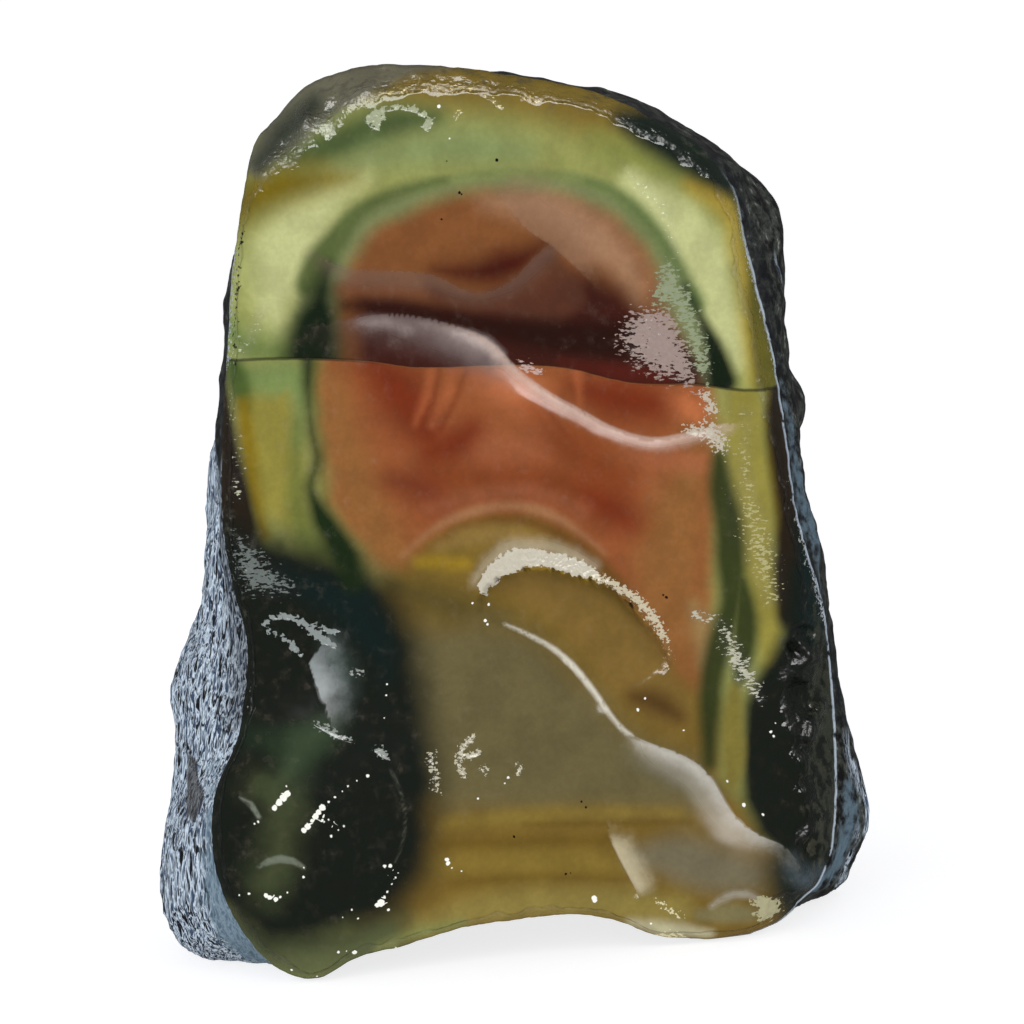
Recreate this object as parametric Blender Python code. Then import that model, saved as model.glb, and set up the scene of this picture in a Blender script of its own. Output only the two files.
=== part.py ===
"""A raw jasper nodule, broken open, standing on its broken base.

The stone grew as one piece, so it is one solid. Its front is a glossy conchoidal break with hinge
ledges, a raised lip, hollows and a proud heel. Behind the edge of the break the rough rind flares
out to the girdle, the widest outline of the nodule, and closes in a lumpy back. The underside is
broken flat, with a shallow hollow between the two front feet.

The design is in millimetres. It is drawn in the plane of the banding: a runs right and b up as seen
from the front, y runs back into the stone. The banding leans LEAN off plumb once the stone stands.
The finished part has its origin on the floor under the middle of its box, +Z up, break facing -Y.
"""

import math

import bmesh
import bpy
import numpy as np
from mathutils import Vector, noise

METRES = 0.001

# Driving dimensions
LEAN = math.radians(5.3)  # the banding's axis off plumb, to the right
FLOOR = 2.1  # height of the floor in the leaning plane, under the heart
HEART = (0.0, 48.0)  # the middle of the break, which all outlines are drawn round
FACE_RAKE = 0.07  # the break leans back this far per millimetre of height
BACK_DEPTH = 47.0  # from the plane of the break to the back of the foot
BACK_TAPER = 0.16  # the back comes forward this far per millimetre of height
TAPER_FROM = 20.0  # height where that taper starts
BACK_ROUND = 2.4  # exponent of the back's section: 2 is an ellipse, more is squarer
BACK_MEAN_RADIUS = 42.0  # the outline rounds off towards a circle of this radius over the back
GIRDLE_EASE = 1.7  # how roundly the rind turns into the girdle: 1 leaves a crease there

# Mesh fineness
FACE_RINGS = 27
RING_STEP = 6  # each ring of the break holds this many points more than the last
SIDE_ROWS = 9
BACK_ROWS = 18
BACK_THINNING = 0.62  # share of the girdle's points that the back starts with

# Edge of the break, clockwise from the right: (a, b)
BREAK_EDGE = [
    (32.8, 45.8), (31.5, 50.4), (30.8, 54.4), (30.3, 58.6), (29.7, 62.8), (29.1, 66.6), (28.2, 71.6),
    (27.2, 77.0), (26.3, 82.0), (25.2, 86.0), (23.4, 88.8), (20.2, 91.6), (16.0, 94.1), (10.6, 96.8),
    (4.6, 98.4), (-0.6, 99.3), (-5.7, 100.0), (-11.2, 100.4), (-16.4, 100.2), (-20.2, 99.3),
    (-23.8, 97.6), (-26.6, 94.6), (-29.3, 91.3), (-30.0, 87.8), (-30.6, 84.1), (-31.1, 80.8),
    (-31.7, 75.8), (-32.0, 70.2), (-32.4, 64.7), (-32.7, 59.1), (-32.8, 53.6), (-32.5, 48.0),
    (-31.4, 41.9), (-30.0, 36.3), (-30.3, 30.2), (-31.4, 24.9), (-33.2, 20.8), (-33.8, 15.8),
    (-32.9, 10.2), (-30.1, 4.7), (-25.7, 0.7), (-21.8, 0.0), (-18.2, 2.0), (-12.9, 3.3), (-6.2, 5.2),
    (0.4, 6.1), (7.1, 6.7), (11.6, 6.0), (15.4, 4.6), (20.4, 4.1), (26.0, 4.4), (29.3, 5.6),
    (31.6, 7.4), (33.8, 9.3), (35.3, 12.4), (36.0, 17.4), (36.1, 23.6), (35.8, 30.2), (35.2, 35.8),
    (34.4, 40.8),
]

# Girdle, the widest outline of the rind: (a, b). Its foot runs under the floor, which cuts it flat.
GIRDLE = [
    (34.2, 45.0), (32.7, 48.6), (31.5, 52.4), (31.8, 57.0), (32.4, 60.6), (30.6, 65.0), (30.5, 70.0),
    (30.6, 76.0), (29.4, 83.6), (25.2, 89.0), (17.0, 93.2), (7.4, 96.8), (-2.0, 98.4), (-12.0, 99.2),
    (-19.6, 98.4), (-26.0, 94.9), (-29.6, 89.2), (-31.4, 79.0), (-32.3, 68.0), (-33.2, 60.0),
    (-34.8, 52.1), (-35.8, 45.1), (-36.6, 38.2), (-37.8, 34.7), (-38.8, 28.9), (-39.8, 21.0),
    (-40.6, 13.9), (-41.0, 8.1), (-41.0, 3.5), (-38.5, -1.6), (-33.0, -2.6), (-25.0, -1.9),
    (-12.0, -0.6), (0.0, 0.6), (10.0, 1.5), (24.0, 2.6), (33.0, 2.4), (37.6, 3.8), (39.4, 8.6),
    (40.2, 13.0), (40.3, 16.6), (39.3, 23.6), (37.3, 30.7), (35.6, 40.0),
]

# Round the heart in degrees from the right, anticlockwise: (turn, depth of the girdle)
GIRDLE_DEPTH = [
    (0, 22), (45, 20), (90, 18), (135, 19), (180, 20), (222, 20), (248, 30), (270, 36), (292, 28), (314, 15),
]

# Rounding of the break towards its edge: (turn, width of the rounding, how far it falls back)
EDGE_ROUNDING = [
    (0, 1.2, 1.4), (15, 2.2, 3.5), (30, 3.8, 7.5), (42, 3.0, 5.5), (58, 2.0, 3.0), (80, 2.8, 4.0),
    (100, 3.6, 5.0), (118, 5.5, 7.5), (132, 4.0, 5.0), (145, 1.6, 2.0), (180, 1.0, 1.2),
    (205, 1.6, 2.0), (225, 2.4, 3.0), (245, 1.6, 1.6), (270, 1.0, 0.8), (300, 1.4, 1.6),
    (316, 4.5, 6.5), (332, 6.5, 9.5), (346, 3.5, 5.0),
]

# Broad swells of the break: (middle a, b), (half-width, half-height), depth, negative is proud
SWELLS = {
    "left_foot_lobe": ((-22.0, 6.0), (10.0, 14.0), -3.0),
    "right_foot_toe": ((24.0, 11.0), (8.0, 7.0), -2.6),
    "chip_over_left_foot": ((-23.5, 34.0), (4.5, 6.5), 1.2),
    "upper_bowl": ((2.0, 78.0), (17.0, 11.0), 1.5),
    "brow": ((-2.0, 90.0), (22.0, 5.0), -0.9),
    "middle_belly": ((-6.0, 54.0), (14.0, 8.0), -1.0),
    "toe_pocket": ((25.0, 8.6), (3.0, 1.6), 1.2),
}

# Ledges of the break. Each is a line (a, b) drawn left to right, its depth and how far that dies away
# below the line (each at its left end, at its right end), how far above, and how proud the lip above it
# stands.
LEDGES = {
    "hinge": dict(
        line=[(-20.0, 72.2), (-13.0, 72.8), (-7.3, 71.6), (-2.9, 69.7), (-0.1, 66.9), (3.2, 64.4),
              (7.1, 62.2), (11.0, 60.2), (14.9, 59.1), (19.3, 59.7), (23.5, 60.8)],
        depth=(2.0, 2.0), below=(3.4, 2.7), above=11.0, lip=0.0,
    ),
    "crescent_lip": dict(
        line=[(-4.6, 40.0), (-2.7, 43.0), (-0.7, 44.3), (3.2, 44.7), (7.1, 43.8), (10.4, 42.7),
              (13.2, 40.2), (15.4, 37.4), (17.6, 34.0)],
        depth=(1.5, 1.5), below=(5.0, 5.0), above=2.4, lip=1.2,
    ),
    "heel_crest": dict(
        line=[(-3.0, 39.2), (1.5, 37.2), (4.9, 34.7), (7.2, 32.2), (9.3, 29.7), (11.5, 27.4),
              (13.8, 25.8), (17.0, 24.9), (20.4, 23.6), (22.5, 21.4), (24.3, 19.1), (27.0, 16.8),
              (30.4, 14.7), (33.0, 12.6)],
        depth=(0.3, 2.6), below=(0.8, 4.6), above=6.0, lip=0.0,
    ),
    "toe_nick": dict(
        line=[(9.8, 16.2), (10.7, 14.9), (12.2, 12.0), (13.8, 8.8)],
        depth=(0.9, 0.9), below=(2.2, 2.2), above=2.4, lip=0.0,
    ),
}
HEEL_TOP, HEEL_FOOT, HEEL_PROUD = 38.0, 15.0, 3.6  # the heel swells out between these heights

# Rind: (size of the lumps, how high they stand)
RIND_LUMPS = [(26.0, 2.4), (12.0, 1.5), (6.5, 0.6)]
RIND_FADE = 4.0  # the lumps grow from nothing at the edge of the break over this depth

JASPER = dict(color=(0.30, 0.20, 0.09, 1.0), roughness=0.22)


def smooth_step(low, high, x):
    t = np.clip((x - low) / (high - low), 0.0, 1.0)
    return t * t * (3.0 - 2.0 * t)


def smooth_curve(knots, values, at):
    """A cubic curve through the knots, level with its neighbours at each one."""
    knots, values = np.asarray(knots, float), np.asarray(values, float)
    slopes = np.gradient(values, knots)
    i = np.clip(np.searchsorted(knots, at) - 1, 0, len(knots) - 2)
    span = knots[i + 1] - knots[i]
    t = (at - knots[i]) / span
    return (
        values[i] * (1 + 2 * t) * (1 - t) ** 2
        + span * slopes[i] * t * (1 - t) ** 2
        + values[i + 1] * t * t * (3 - 2 * t)
        + span * slopes[i + 1] * t * t * (t - 1)
    )


def round_heart(turns, values, at):
    """smooth_curve for values given round the heart, in degrees, where 360 meets 0."""
    order = np.argsort(np.asarray(turns) % 360.0)
    turns = (np.asarray(turns, float) % 360.0)[order]
    values = np.asarray(values, float)[order]
    turns = np.concatenate([turns[-3:] - 360.0, turns, turns[:3] + 360.0])
    values = np.concatenate([values[-3:], values, values[:3]])
    return smooth_curve(turns, values, np.asarray(at) % 360.0)


def outline_radius(outline, turn):
    """Radius of a closed outline round the heart, at these turns in degrees."""
    from_heart = np.asarray(outline) - HEART
    turns = np.degrees(np.arctan2(from_heart[:, 1], from_heart[:, 0]))
    return round_heart(turns, np.hypot(from_heart[:, 0], from_heart[:, 1]), turn)


def line_distance(line, a, b):
    """(signed distance, share of the way along) for each point; above the line is positive."""
    points = np.stack([a, b], axis=1)
    starts, ends = np.asarray(line[:-1], float), np.asarray(line[1:], float)
    runs = ends - starts
    lengths = np.hypot(runs[:, 0], runs[:, 1])
    offset = points[:, None, :] - starts[None]
    along = np.clip((offset * runs).sum(2) / lengths**2, 0.0, 1.0)
    gap = offset - along[..., None] * runs
    distance = np.hypot(gap[..., 0], gap[..., 1])
    nearest = distance.argmin(1)
    rows = np.arange(len(points))
    side = np.sign(runs[nearest, 0] * offset[rows, nearest, 1] - runs[nearest, 1] * offset[rows, nearest, 0])
    travelled = np.concatenate([[0.0], np.cumsum(lengths)])
    share = (travelled[nearest] + along[rows, nearest] * lengths[nearest]) / travelled[-1]
    return side * distance[rows, nearest], share


def ledge_depth(a, b, line, depth, below, above, lip):
    """A step in the break: deepest along its line, with a lip standing proud above it where it has one."""
    distance, share = line_distance(line, a, b)
    run = np.sin(math.pi * np.clip(share, 0.0, 1.0)) ** 0.6
    fade = below[0] + (below[1] - below[0]) * share
    depth = depth[0] + (depth[1] - depth[0]) * share
    under = depth * np.exp(np.minimum(distance, 0.0) / fade)
    over = np.exp(-np.maximum(distance, 0.0) / above)
    upper = np.where(lip > 0, -lip, depth) * over
    return run * np.where(distance > 0, upper, under)


def break_depth(a, b):
    """Depth y of the broken front at each point of the banding's plane."""
    y = FACE_RAKE * b
    for (middle_a, middle_b), (half_a, half_b), depth in SWELLS.values():
        y = y + depth * np.exp(-(((a - middle_a) / half_a) ** 2) - ((b - middle_b) / half_b) ** 2)
    y = y - HEEL_PROUD * (1.0 - smooth_step(HEEL_FOOT, HEEL_TOP, b))
    for ledge in LEDGES.values():
        y = y + ledge_depth(a, b, **ledge)
    return y


def edge_rounding(turn, radius, share):
    """How far the break falls back near its edge. share is 0 at the heart and 1 on the edge."""
    turns, widths, falls = zip(*EDGE_ROUNDING)
    width = round_heart(turns, widths, turn)
    fall = round_heart(turns, falls, turn)
    into = np.clip(1.0 - (1.0 - share) * radius / width, 0.0, 1.0)
    return fall * (1.0 - np.sqrt(1.0 - 0.98 * into**2))


def floor_radius(turn):
    """Radius at which a ray from the heart meets the floor."""
    heart_height = HEART[1] * math.cos(LEAN) - HEART[0] * math.sin(LEAN) - FLOOR
    down = -np.sin(np.radians(turn) - LEAN)
    return np.where(down > 0.05, heart_height / np.maximum(down, 0.05), 1e9)


def rind_lumps(points):
    """Height of the rind's lumps at each point."""
    heights = np.zeros(len(points))
    for size, height in RIND_LUMPS:
        heights += [height * noise.noise(Vector(p) / size) for p in points]
    return heights


def in_plane(turn, radius):
    """(a, b) at these turns in degrees and radii from the heart."""
    angle = np.radians(turn)
    return HEART[0] + radius * np.cos(angle), HEART[1] + radius * np.sin(angle)


def break_ring(turn, share):
    """Points (a, y, b) of the break at this share of the way from the heart to its edge."""
    radius = np.minimum(outline_radius(BREAK_EDGE, turn), floor_radius(turn))
    a, b = in_plane(turn, share * radius)
    return np.stack([a, break_depth(a, b) + edge_rounding(turn, radius, share), b], axis=1)


def rind_ring(turn, side, back):
    """Points (a, y, b) of the rind. side runs 0 to 1 from the edge of the break to the girdle, then back
    runs 0 to 1 from the girdle to the middle of the back."""
    inward = math.cos(back * math.pi / 2)
    floor = floor_radius(turn)
    edge_radius = np.minimum(outline_radius(BREAK_EDGE, turn), floor)
    edge_y = break_ring(turn, 1.0)[:, 1]
    girdle_y = round_heart(*zip(*GIRDLE_DEPTH), turn)
    girdle_radius = outline_radius(GIRDLE, turn)
    girdle_radius = girdle_radius + (BACK_MEAN_RADIUS - girdle_radius) * back
    swell = 1.0 - (1.0 - side) ** GIRDLE_EASE
    radius = (edge_radius + (girdle_radius - edge_radius) * swell) * inward
    a, b = in_plane(turn, radius)
    back_y = BACK_DEPTH - BACK_TAPER * np.maximum(b - TAPER_FROM, 0.0)
    bulge = (1.0 - inward**BACK_ROUND) ** (1.0 / BACK_ROUND)
    y = edge_y + (girdle_y - edge_y) * side + (back_y - girdle_y) * bulge
    lumps = rind_lumps(np.stack([a, y, b], axis=1)) * smooth_step(0.0, RIND_FADE, y - edge_y)
    a, b = in_plane(turn, np.minimum(radius + lumps * inward, floor))
    return np.stack([a, y + lumps * math.sqrt(1.0 - inward**2), b], axis=1)


def turns_of(count):
    return np.arange(count) * 360.0 / count


def stone_rings():
    """Rings of points (a, y, b) from the middle of the break over its edge to the middle of the back."""
    rings = [break_ring(turns_of(1), 0.0)]
    for ring in range(1, FACE_RINGS + 1):
        rings.append(break_ring(turns_of(RING_STEP * ring), ring / FACE_RINGS))
    widest = RING_STEP * FACE_RINGS
    for row in range(1, SIDE_ROWS + 1):
        rings.append(rind_ring(turns_of(widest), row / SIDE_ROWS, 0.0))
    for row in range(1, BACK_ROWS):
        back = row / BACK_ROWS
        count = max(RING_STEP, round(BACK_THINNING * widest * math.cos(back * math.pi / 2)))
        rings.append(rind_ring(turns_of(count), 1.0, back))
    rings.append(rind_ring(turns_of(1), 1.0, 1.0))
    return rings


def zip_rings(first, second):
    """Triangles between two rings of any counts, each a list of vertices at even turns."""
    faces = []
    i = j = 0
    while i < len(first) or j < len(second):
        next_i, next_j = (i + 1) / len(first), (j + 1) / len(second)
        one, other = first[i % len(first)], second[j % len(second)]
        if j >= len(second) or (i < len(first) and next_i <= next_j and len(first) > 1):
            faces.append((one, first[(i + 1) % len(first)], other))
            i += 1
        else:
            faces.append((one, second[(j + 1) % len(second)], other))
            j += 1
        if len(first) == 1 and j >= len(second) or len(second) == 1 and i >= len(first):
            break
    return faces


def standing(points):
    """The stone turned to stand on its feet: metres, origin under the middle of its box."""
    a, y, b = points[:, 0], points[:, 1], points[:, 2]
    x = a * math.cos(LEAN) + b * math.sin(LEAN)
    z = b * math.cos(LEAN) - a * math.sin(LEAN) - FLOOR
    stood = np.stack([x, y, z], axis=1) * METRES
    middle = (stood.min(0) + stood.max(0)) / 2
    return stood - [middle[0], middle[1], stood[:, 2].min()]


def stone_mesh():
    rings = stone_rings()
    points = standing(np.concatenate(rings))
    shape = bmesh.new()
    vertices = [shape.verts.new(p) for p in points]
    ends = np.cumsum([len(r) for r in rings])
    loops = [vertices[end - len(ring):end] for ring, end in zip(rings, ends)]
    for first, second in zip(loops, loops[1:]):
        for corners in zip_rings(first, second):
            shape.faces.new(corners)
    bmesh.ops.recalc_face_normals(shape, faces=shape.faces)
    mesh = bpy.data.meshes.new("jasper_nodule")
    shape.to_mesh(mesh)
    shape.free()
    mesh.shade_smooth()
    return mesh


def jasper_material():
    material = bpy.data.materials.new("jasper")
    material.use_nodes = True
    surface = material.node_tree.nodes["Principled BSDF"]
    surface.inputs["Base Color"].default_value = JASPER["color"]
    surface.inputs["Roughness"].default_value = JASPER["roughness"]
    surface.inputs["Metallic"].default_value = 0.0
    return material


def build():
    for old in list(bpy.data.objects):
        bpy.data.objects.remove(old)
    stone = bpy.data.objects.new("jasper_nodule", stone_mesh())
    stone.data.materials.append(jasper_material())
    bpy.context.scene.collection.objects.link(stone)


build()
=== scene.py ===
"""A raw jasper nodule, broken open at the front: its fine surface, its bands of colour, its wet gloss.

Lengths are millimetres in the plane of the banding: a runs right and b up as seen from the front, y runs
back into the stone, and the banding's axis leans off plumb once the stone stands. The mesh is turned
upright and taken to metres as the last step of its making.
"""

import math

import bpy
import numpy as np
from mathutils import Matrix, Vector, noise


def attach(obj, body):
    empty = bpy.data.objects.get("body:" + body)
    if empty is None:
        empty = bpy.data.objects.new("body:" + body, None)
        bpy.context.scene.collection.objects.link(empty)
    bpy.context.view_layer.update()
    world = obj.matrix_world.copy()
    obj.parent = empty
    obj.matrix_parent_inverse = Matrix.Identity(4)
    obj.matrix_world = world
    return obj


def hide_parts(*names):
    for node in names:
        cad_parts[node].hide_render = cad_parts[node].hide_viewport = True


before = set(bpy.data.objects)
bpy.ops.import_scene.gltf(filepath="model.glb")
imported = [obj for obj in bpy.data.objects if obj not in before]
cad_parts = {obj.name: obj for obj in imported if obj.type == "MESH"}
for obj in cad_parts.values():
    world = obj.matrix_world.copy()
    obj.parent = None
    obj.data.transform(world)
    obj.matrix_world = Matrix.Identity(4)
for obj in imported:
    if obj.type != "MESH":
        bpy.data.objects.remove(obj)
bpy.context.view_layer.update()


# ---- The nodule --------------------------------------------------------------------------------------
# The stone grew as one piece of silica, rounded, in a rough rind. A blow opened it at the front, so it
# shows a glossy shell-like break inside a sharp, slightly ragged edge, and it stands on its broken foot.
# It is one mesh: rings of points from the middle of the break, over its edge, to the middle of the back.

METRES = 0.001
LEAN = math.radians(5.3)  # the banding's axis off plumb, to the right
FLOOR = 2.1  # height of the floor in the leaning plane, under the heart
HEART = (0.0, 48.0)  # the middle of the break, which all outlines are drawn round

# Edge of the break, clockwise from the right: (a, b)
BREAK_EDGE = [
    (32.8, 45.8), (31.5, 50.4), (30.8, 54.4), (30.3, 58.6), (29.7, 62.8), (29.1, 66.6), (28, 71.6),
    (26.6, 77), (25.3, 82), (24.5, 86), (22.9, 88.8), (20.2, 91.6), (16, 94.1), (10.6, 96.8),
    (4.6, 98.4), (-0.6, 99.3), (-5.7, 100), (-11.2, 100.4), (-16.4, 100.2), (-20.2, 99.3),
    (-23.8, 97.6), (-26.6, 94.6), (-29.3, 91.3), (-30, 87.8), (-30.6, 84.1), (-31.1, 80.8),
    (-31.7, 75.8), (-32, 70.2), (-32.4, 64.7), (-32.7, 59.1), (-32.8, 53.6), (-32.5, 48),
    (-31.4, 41.9), (-30, 36.3), (-30.3, 30.2), (-31.4, 24.9), (-33.2, 20.8), (-33.8, 15.8),
    (-32.9, 10.2), (-30.1, 4.7), (-25.7, 0.7), (-21.8, 0), (-18.2, 2), (-12.9, 3.3), (-6.2, 5.2),
    (0.4, 6.1), (7.1, 6.7), (11.6, 6), (15.4, 4.6), (20.4, 4.1), (26, 4.4), (29.3, 5.6),
    (31.6, 7.4), (33.8, 9.3), (35.3, 12.4), (36, 17.4), (36.1, 23.6), (35.8, 30.2), (35.2, 35.8),
    (34.4, 40.8),
]

# Girdle, the widest outline of the rind: (a, b)
GIRDLE = [
    (34.2, 45), (32.7, 48.6), (31.5, 52.4), (31.8, 57), (32.4, 60.6), (30.6, 65), (30.5, 70),
    (30.6, 76), (29.4, 83.6), (25.2, 89), (17, 93.2), (7.4, 96.8), (-2, 98.4), (-12, 99.2),
    (-19.6, 98.4), (-26, 94.9), (-29.6, 89.2), (-31.4, 79), (-32.3, 68), (-33.2, 60),
    (-34.8, 52.1), (-35.8, 45.1), (-36.6, 38.2), (-37.8, 34.7), (-38.8, 28.9), (-39.6, 21),
    (-40.2, 13.9), (-40.5, 8.1), (-40.5, 3.5), (-38.5, -1.6), (-33, -2.6), (-25, -1.9),
    (-12, -0.6), (0, 0.6), (10, 1.5), (24, 2.6), (33, 2.4), (37.6, 3.8), (39.2, 8.6),
    (39.8, 13), (39.8, 16.6), (39.3, 23.6), (37.3, 30.7), (35.6, 40),
]

# Round the heart in degrees from the right, anticlockwise: (turn, depth of the girdle)
GIRDLE_DEPTH = [
    (0, 22), (45, 20), (90, 18), (135, 19), (180, 20), (222, 20), (248, 30), (270, 36), (292, 28), (314, 15),
]
# How roundly the rind turns out to the girdle, by turn: 1 is a straight slope
GIRDLE_EASE = [(0, 1.7), (244, 1.7), (256, 0.9), (298, 0.9), (308, 1.7)]
BACK_DEPTH, BACK_TAPER, TAPER_FROM = 46.8, 0.16, 20  # the back comes forward as it rises
BACK_ROUND = 2.4  # exponent of the back's section: 2 is an ellipse, more is squarer
BACK_MEAN_RADIUS = 42  # the outline rounds off towards a circle of this radius over the back

# Rounding of the break towards its edge: (turn, width of the rounding, how far it falls back)
EDGE_ROUNDING = [
    (0, 1.2, 1.6), (15, 1.3, 2), (30, 2, 3.6), (42, 2.2, 4), (58, 1.7, 2.9), (80, 1.5, 2.6),
    (92, 1.6, 2.8), (102, 2.1, 3.5), (110, 3.6, 5.6), (116, 4.3, 7), (121, 3.8, 6.2), (128, 1.6, 2.6),
    (145, 1.2, 1.8), (180, 1, 1.2), (205, 0.9, 1), (225, 1.2, 1.4), (245, 1.2, 1.2), (270, 1, 0.8),
    (300, 1.4, 1.6), (316, 4.5, 6.5), (332, 5.5, 8.6), (346, 2.6, 4.2),
]
EDGE_EASE = 1  # how soon the rounding turns: 1 is a flat bevel
EDGE_WANDER = [(4, 0.5), (1.6, 0.3)]  # (size, share) by which the rounding widens and narrows
EDGE_RAGGED = [(3.2, 0.22), (1.1, 0.12)]  # (size, height) of the nicks along the edge of the break

# Broad swells of the break: (middle a, b), (half-width, half-height), depth, negative is proud
FACE_RAKE = 0.07
SWELLS = {
    "left_foot_lobe": ((-22.0, 6.0), (10.0, 14.0), -3.0),
    "right_foot_toe": ((24.0, 11.0), (8.0, 7.0), -2.6),
    "chip_over_left_foot": ((-23.5, 34.0), (4.5, 6.5), 0.5),
    "upper_bowl": ((2.0, 78.0), (17.0, 11.0), 1.5),
    "brow": ((-2.0, 90.0), (22.0, 5.0), -0.9),
    "middle_belly": ((-6.0, 54.0), (14.0, 8.0), -1.0),
    "toe_pocket": ((25.0, 8.6), (3.0, 1.6), 1.2),
}
HEEL_TOP, HEEL_FOOT, HEEL_PROUD = 38.0, 15.0, 3.6

# Ledges: the line (a, b) from left to right, its depth and how far that dies away below (each at its
# left end, at its right end), how far above, and how proud the lip above it stands
LEDGES = {
    "hinge": dict(
        line=[(-20.0, 72.2), (-13.0, 72.8), (-7.3, 71.6), (-2.9, 69.7), (-0.1, 66.9), (3.2, 64.4),
              (7.1, 62.2), (11.0, 60.2), (14.9, 59.1), (19.3, 59.7), (23.5, 60.8)],
        depth=(0.7, 1.9), below=(3.4, 2.5), above=11.0, lip=0.0,
    ),
    "crescent_lip": dict(
        line=[(-4.6, 40.0), (-2.7, 43.0), (-0.7, 44.3), (3.2, 44.7), (7.1, 43.8), (10.4, 42.7),
              (13.2, 40.2), (15.4, 37.4), (17.6, 34.0)],
        depth=(1.5, 1.5), below=(5.0, 5.0), above=2.4, lip=1.2,
    ),
    "heel_crest": dict(
        line=[(-3.0, 39.2), (-0.9, 38.5), (1.6, 37.4), (4.2, 35.9), (6.2, 34.2), (8.2, 31.9), (10.2, 29.2),
              (11.9, 27.2), (14.6, 25.7), (18.2, 24.4), (20.2, 23.3), (21.8, 21.7), (23.2, 19.3),
              (24.9, 17.2), (27.6, 15.6), (29.6, 14.8), (31.6, 12.4)],
        depth=(0.3, 0.6), below=(0.8, 3.4), above=6.0, lip=0.0,
    ),
    "toe_nick": dict(
        line=[(9.8, 16.2), (10.7, 14.9), (12.2, 12.0), (13.8, 8.8)],
        depth=(0.9, 0.9), below=(2.2, 2.2), above=2.4, lip=0.0,
    ),
}
RIPPLES = [(14.0, 0.30), (5.0, 0.07), (1.6, 0.015)]  # (size, height) of the break's slight waves

RIND_LUMPS = [(26.0, 2.4), (12.0, 1.5), (6.5, 0.6), (2.6, 0.30), (1.2, 0.12)]  # (size, height)
RIND_FADE = 4.0  # the lumps grow from nothing at the edge of the break over this depth
FIBRE_SIZE, FIBRE_LENGTH, FIBRE_HEIGHT = 1.2, 8.0, 0.52  # ribs of the rind, which run up the stone

# Mesh fineness
FACE_RINGS, RING_STEP = 120, 6
SIDE_ROWS, BACK_ROWS = 46, 34
BACK_THINNING = 0.5


def smooth_step(low, high, x):
    t = np.clip((x - low) / (high - low), 0.0, 1.0)
    return t * t * (3.0 - 2.0 * t)


def smooth_curve(knots, values, at):
    """A cubic curve through the knots, level with its neighbours at each one."""
    knots, values = np.asarray(knots, float), np.asarray(values, float)
    slopes = np.gradient(values, knots)
    i = np.clip(np.searchsorted(knots, at) - 1, 0, len(knots) - 2)
    span = knots[i + 1] - knots[i]
    t = (at - knots[i]) / span
    return (
        values[i] * (1 + 2 * t) * (1 - t) ** 2
        + span * slopes[i] * t * (1 - t) ** 2
        + values[i + 1] * t * t * (3 - 2 * t)
        + span * slopes[i + 1] * t * t * (t - 1)
    )


def round_heart(turns, values, at):
    """smooth_curve for values given round the heart, in degrees, where 360 meets 0."""
    order = np.argsort(np.asarray(turns) % 360.0)
    turns = (np.asarray(turns, float) % 360.0)[order]
    values = np.asarray(values, float)[order]
    turns = np.concatenate([turns[-3:] - 360.0, turns, turns[:3] + 360.0])
    values = np.concatenate([values[-3:], values, values[:3]])
    return smooth_curve(turns, values, np.asarray(at) % 360.0)


def waves(points, octaves, seed=0.0):
    """Sum of soft noises at each point, for (size, height) pairs."""
    heights = np.zeros(len(points))
    for size, height in octaves:
        heights += [height * noise.noise(Vector(p) / size + Vector((seed, 0.0, 0.0))) for p in points]
    return heights


def outline_radius(outline, turn):
    """Radius of a closed outline round the heart, at these turns in degrees."""
    from_heart = np.asarray(outline) - HEART
    turns = np.degrees(np.arctan2(from_heart[:, 1], from_heart[:, 0]))
    return round_heart(turns, np.hypot(from_heart[:, 0], from_heart[:, 1]), turn)


def smooth_line(points, spacing=1.2):
    """The same line as a smooth curve through its points, with its other columns carried along."""
    points = np.asarray(points, float)
    if len(points) < 3:
        return points
    steps = np.hypot(*np.diff(points[:, :2], axis=0).T)
    travelled = np.concatenate([[0.0], np.cumsum(steps)])
    at = np.linspace(0.0, travelled[-1], max(3, round(travelled[-1] / spacing)))
    return np.stack([smooth_curve(travelled, column, at) for column in points.T], axis=1)


def line_distance(line, a, b):
    """(signed distance, share of the way along, foot a, foot b); above the line is positive."""
    line = np.asarray(line, float)[:, :2]
    starts, runs = line[:-1], np.diff(line, axis=0)
    lengths = np.hypot(runs[:, 0], runs[:, 1])
    travelled = np.concatenate([[0.0], np.cumsum(lengths)])
    distance, share = np.empty(len(a)), np.empty(len(a))
    foot = np.empty((len(a), 2))
    for part in np.array_split(np.arange(len(a)), max(1, len(a) // 8000)):
        offset = np.stack([a[part], b[part]], axis=1)[:, None, :] - starts[None]
        along = np.clip((offset * runs).sum(2) / lengths**2, 0.0, 1.0)
        gap = offset - along[..., None] * runs
        size = np.hypot(gap[..., 0], gap[..., 1])
        nearest = size.argmin(1)
        rows = np.arange(len(part))
        cross = runs[nearest, 0] * offset[rows, nearest, 1] - runs[nearest, 1] * offset[rows, nearest, 0]
        along = along[rows, nearest]
        distance[part] = np.where(cross < 0.0, -1.0, 1.0) * size[rows, nearest]
        share[part] = (travelled[nearest] + along * lengths[nearest]) / travelled[-1]
        foot[part] = starts[nearest] + along[:, None] * runs[nearest]
    return distance, share, foot[:, 0], foot[:, 1]


def beside(points, a, b, limits=(-math.inf, math.inf)):
    """(signed distance from the smooth line of points (a, b, value), value at the nearest point of it,
    within these limits)."""
    line = smooth_line(points)
    distance, share, _, _ = line_distance(line, a, b)
    travelled = np.concatenate([[0.0], np.cumsum(np.hypot(*np.diff(line[:, :2], axis=0).T))])
    return distance, np.interp(share, travelled / travelled[-1], np.clip(line[:, 2], *limits))


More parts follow.
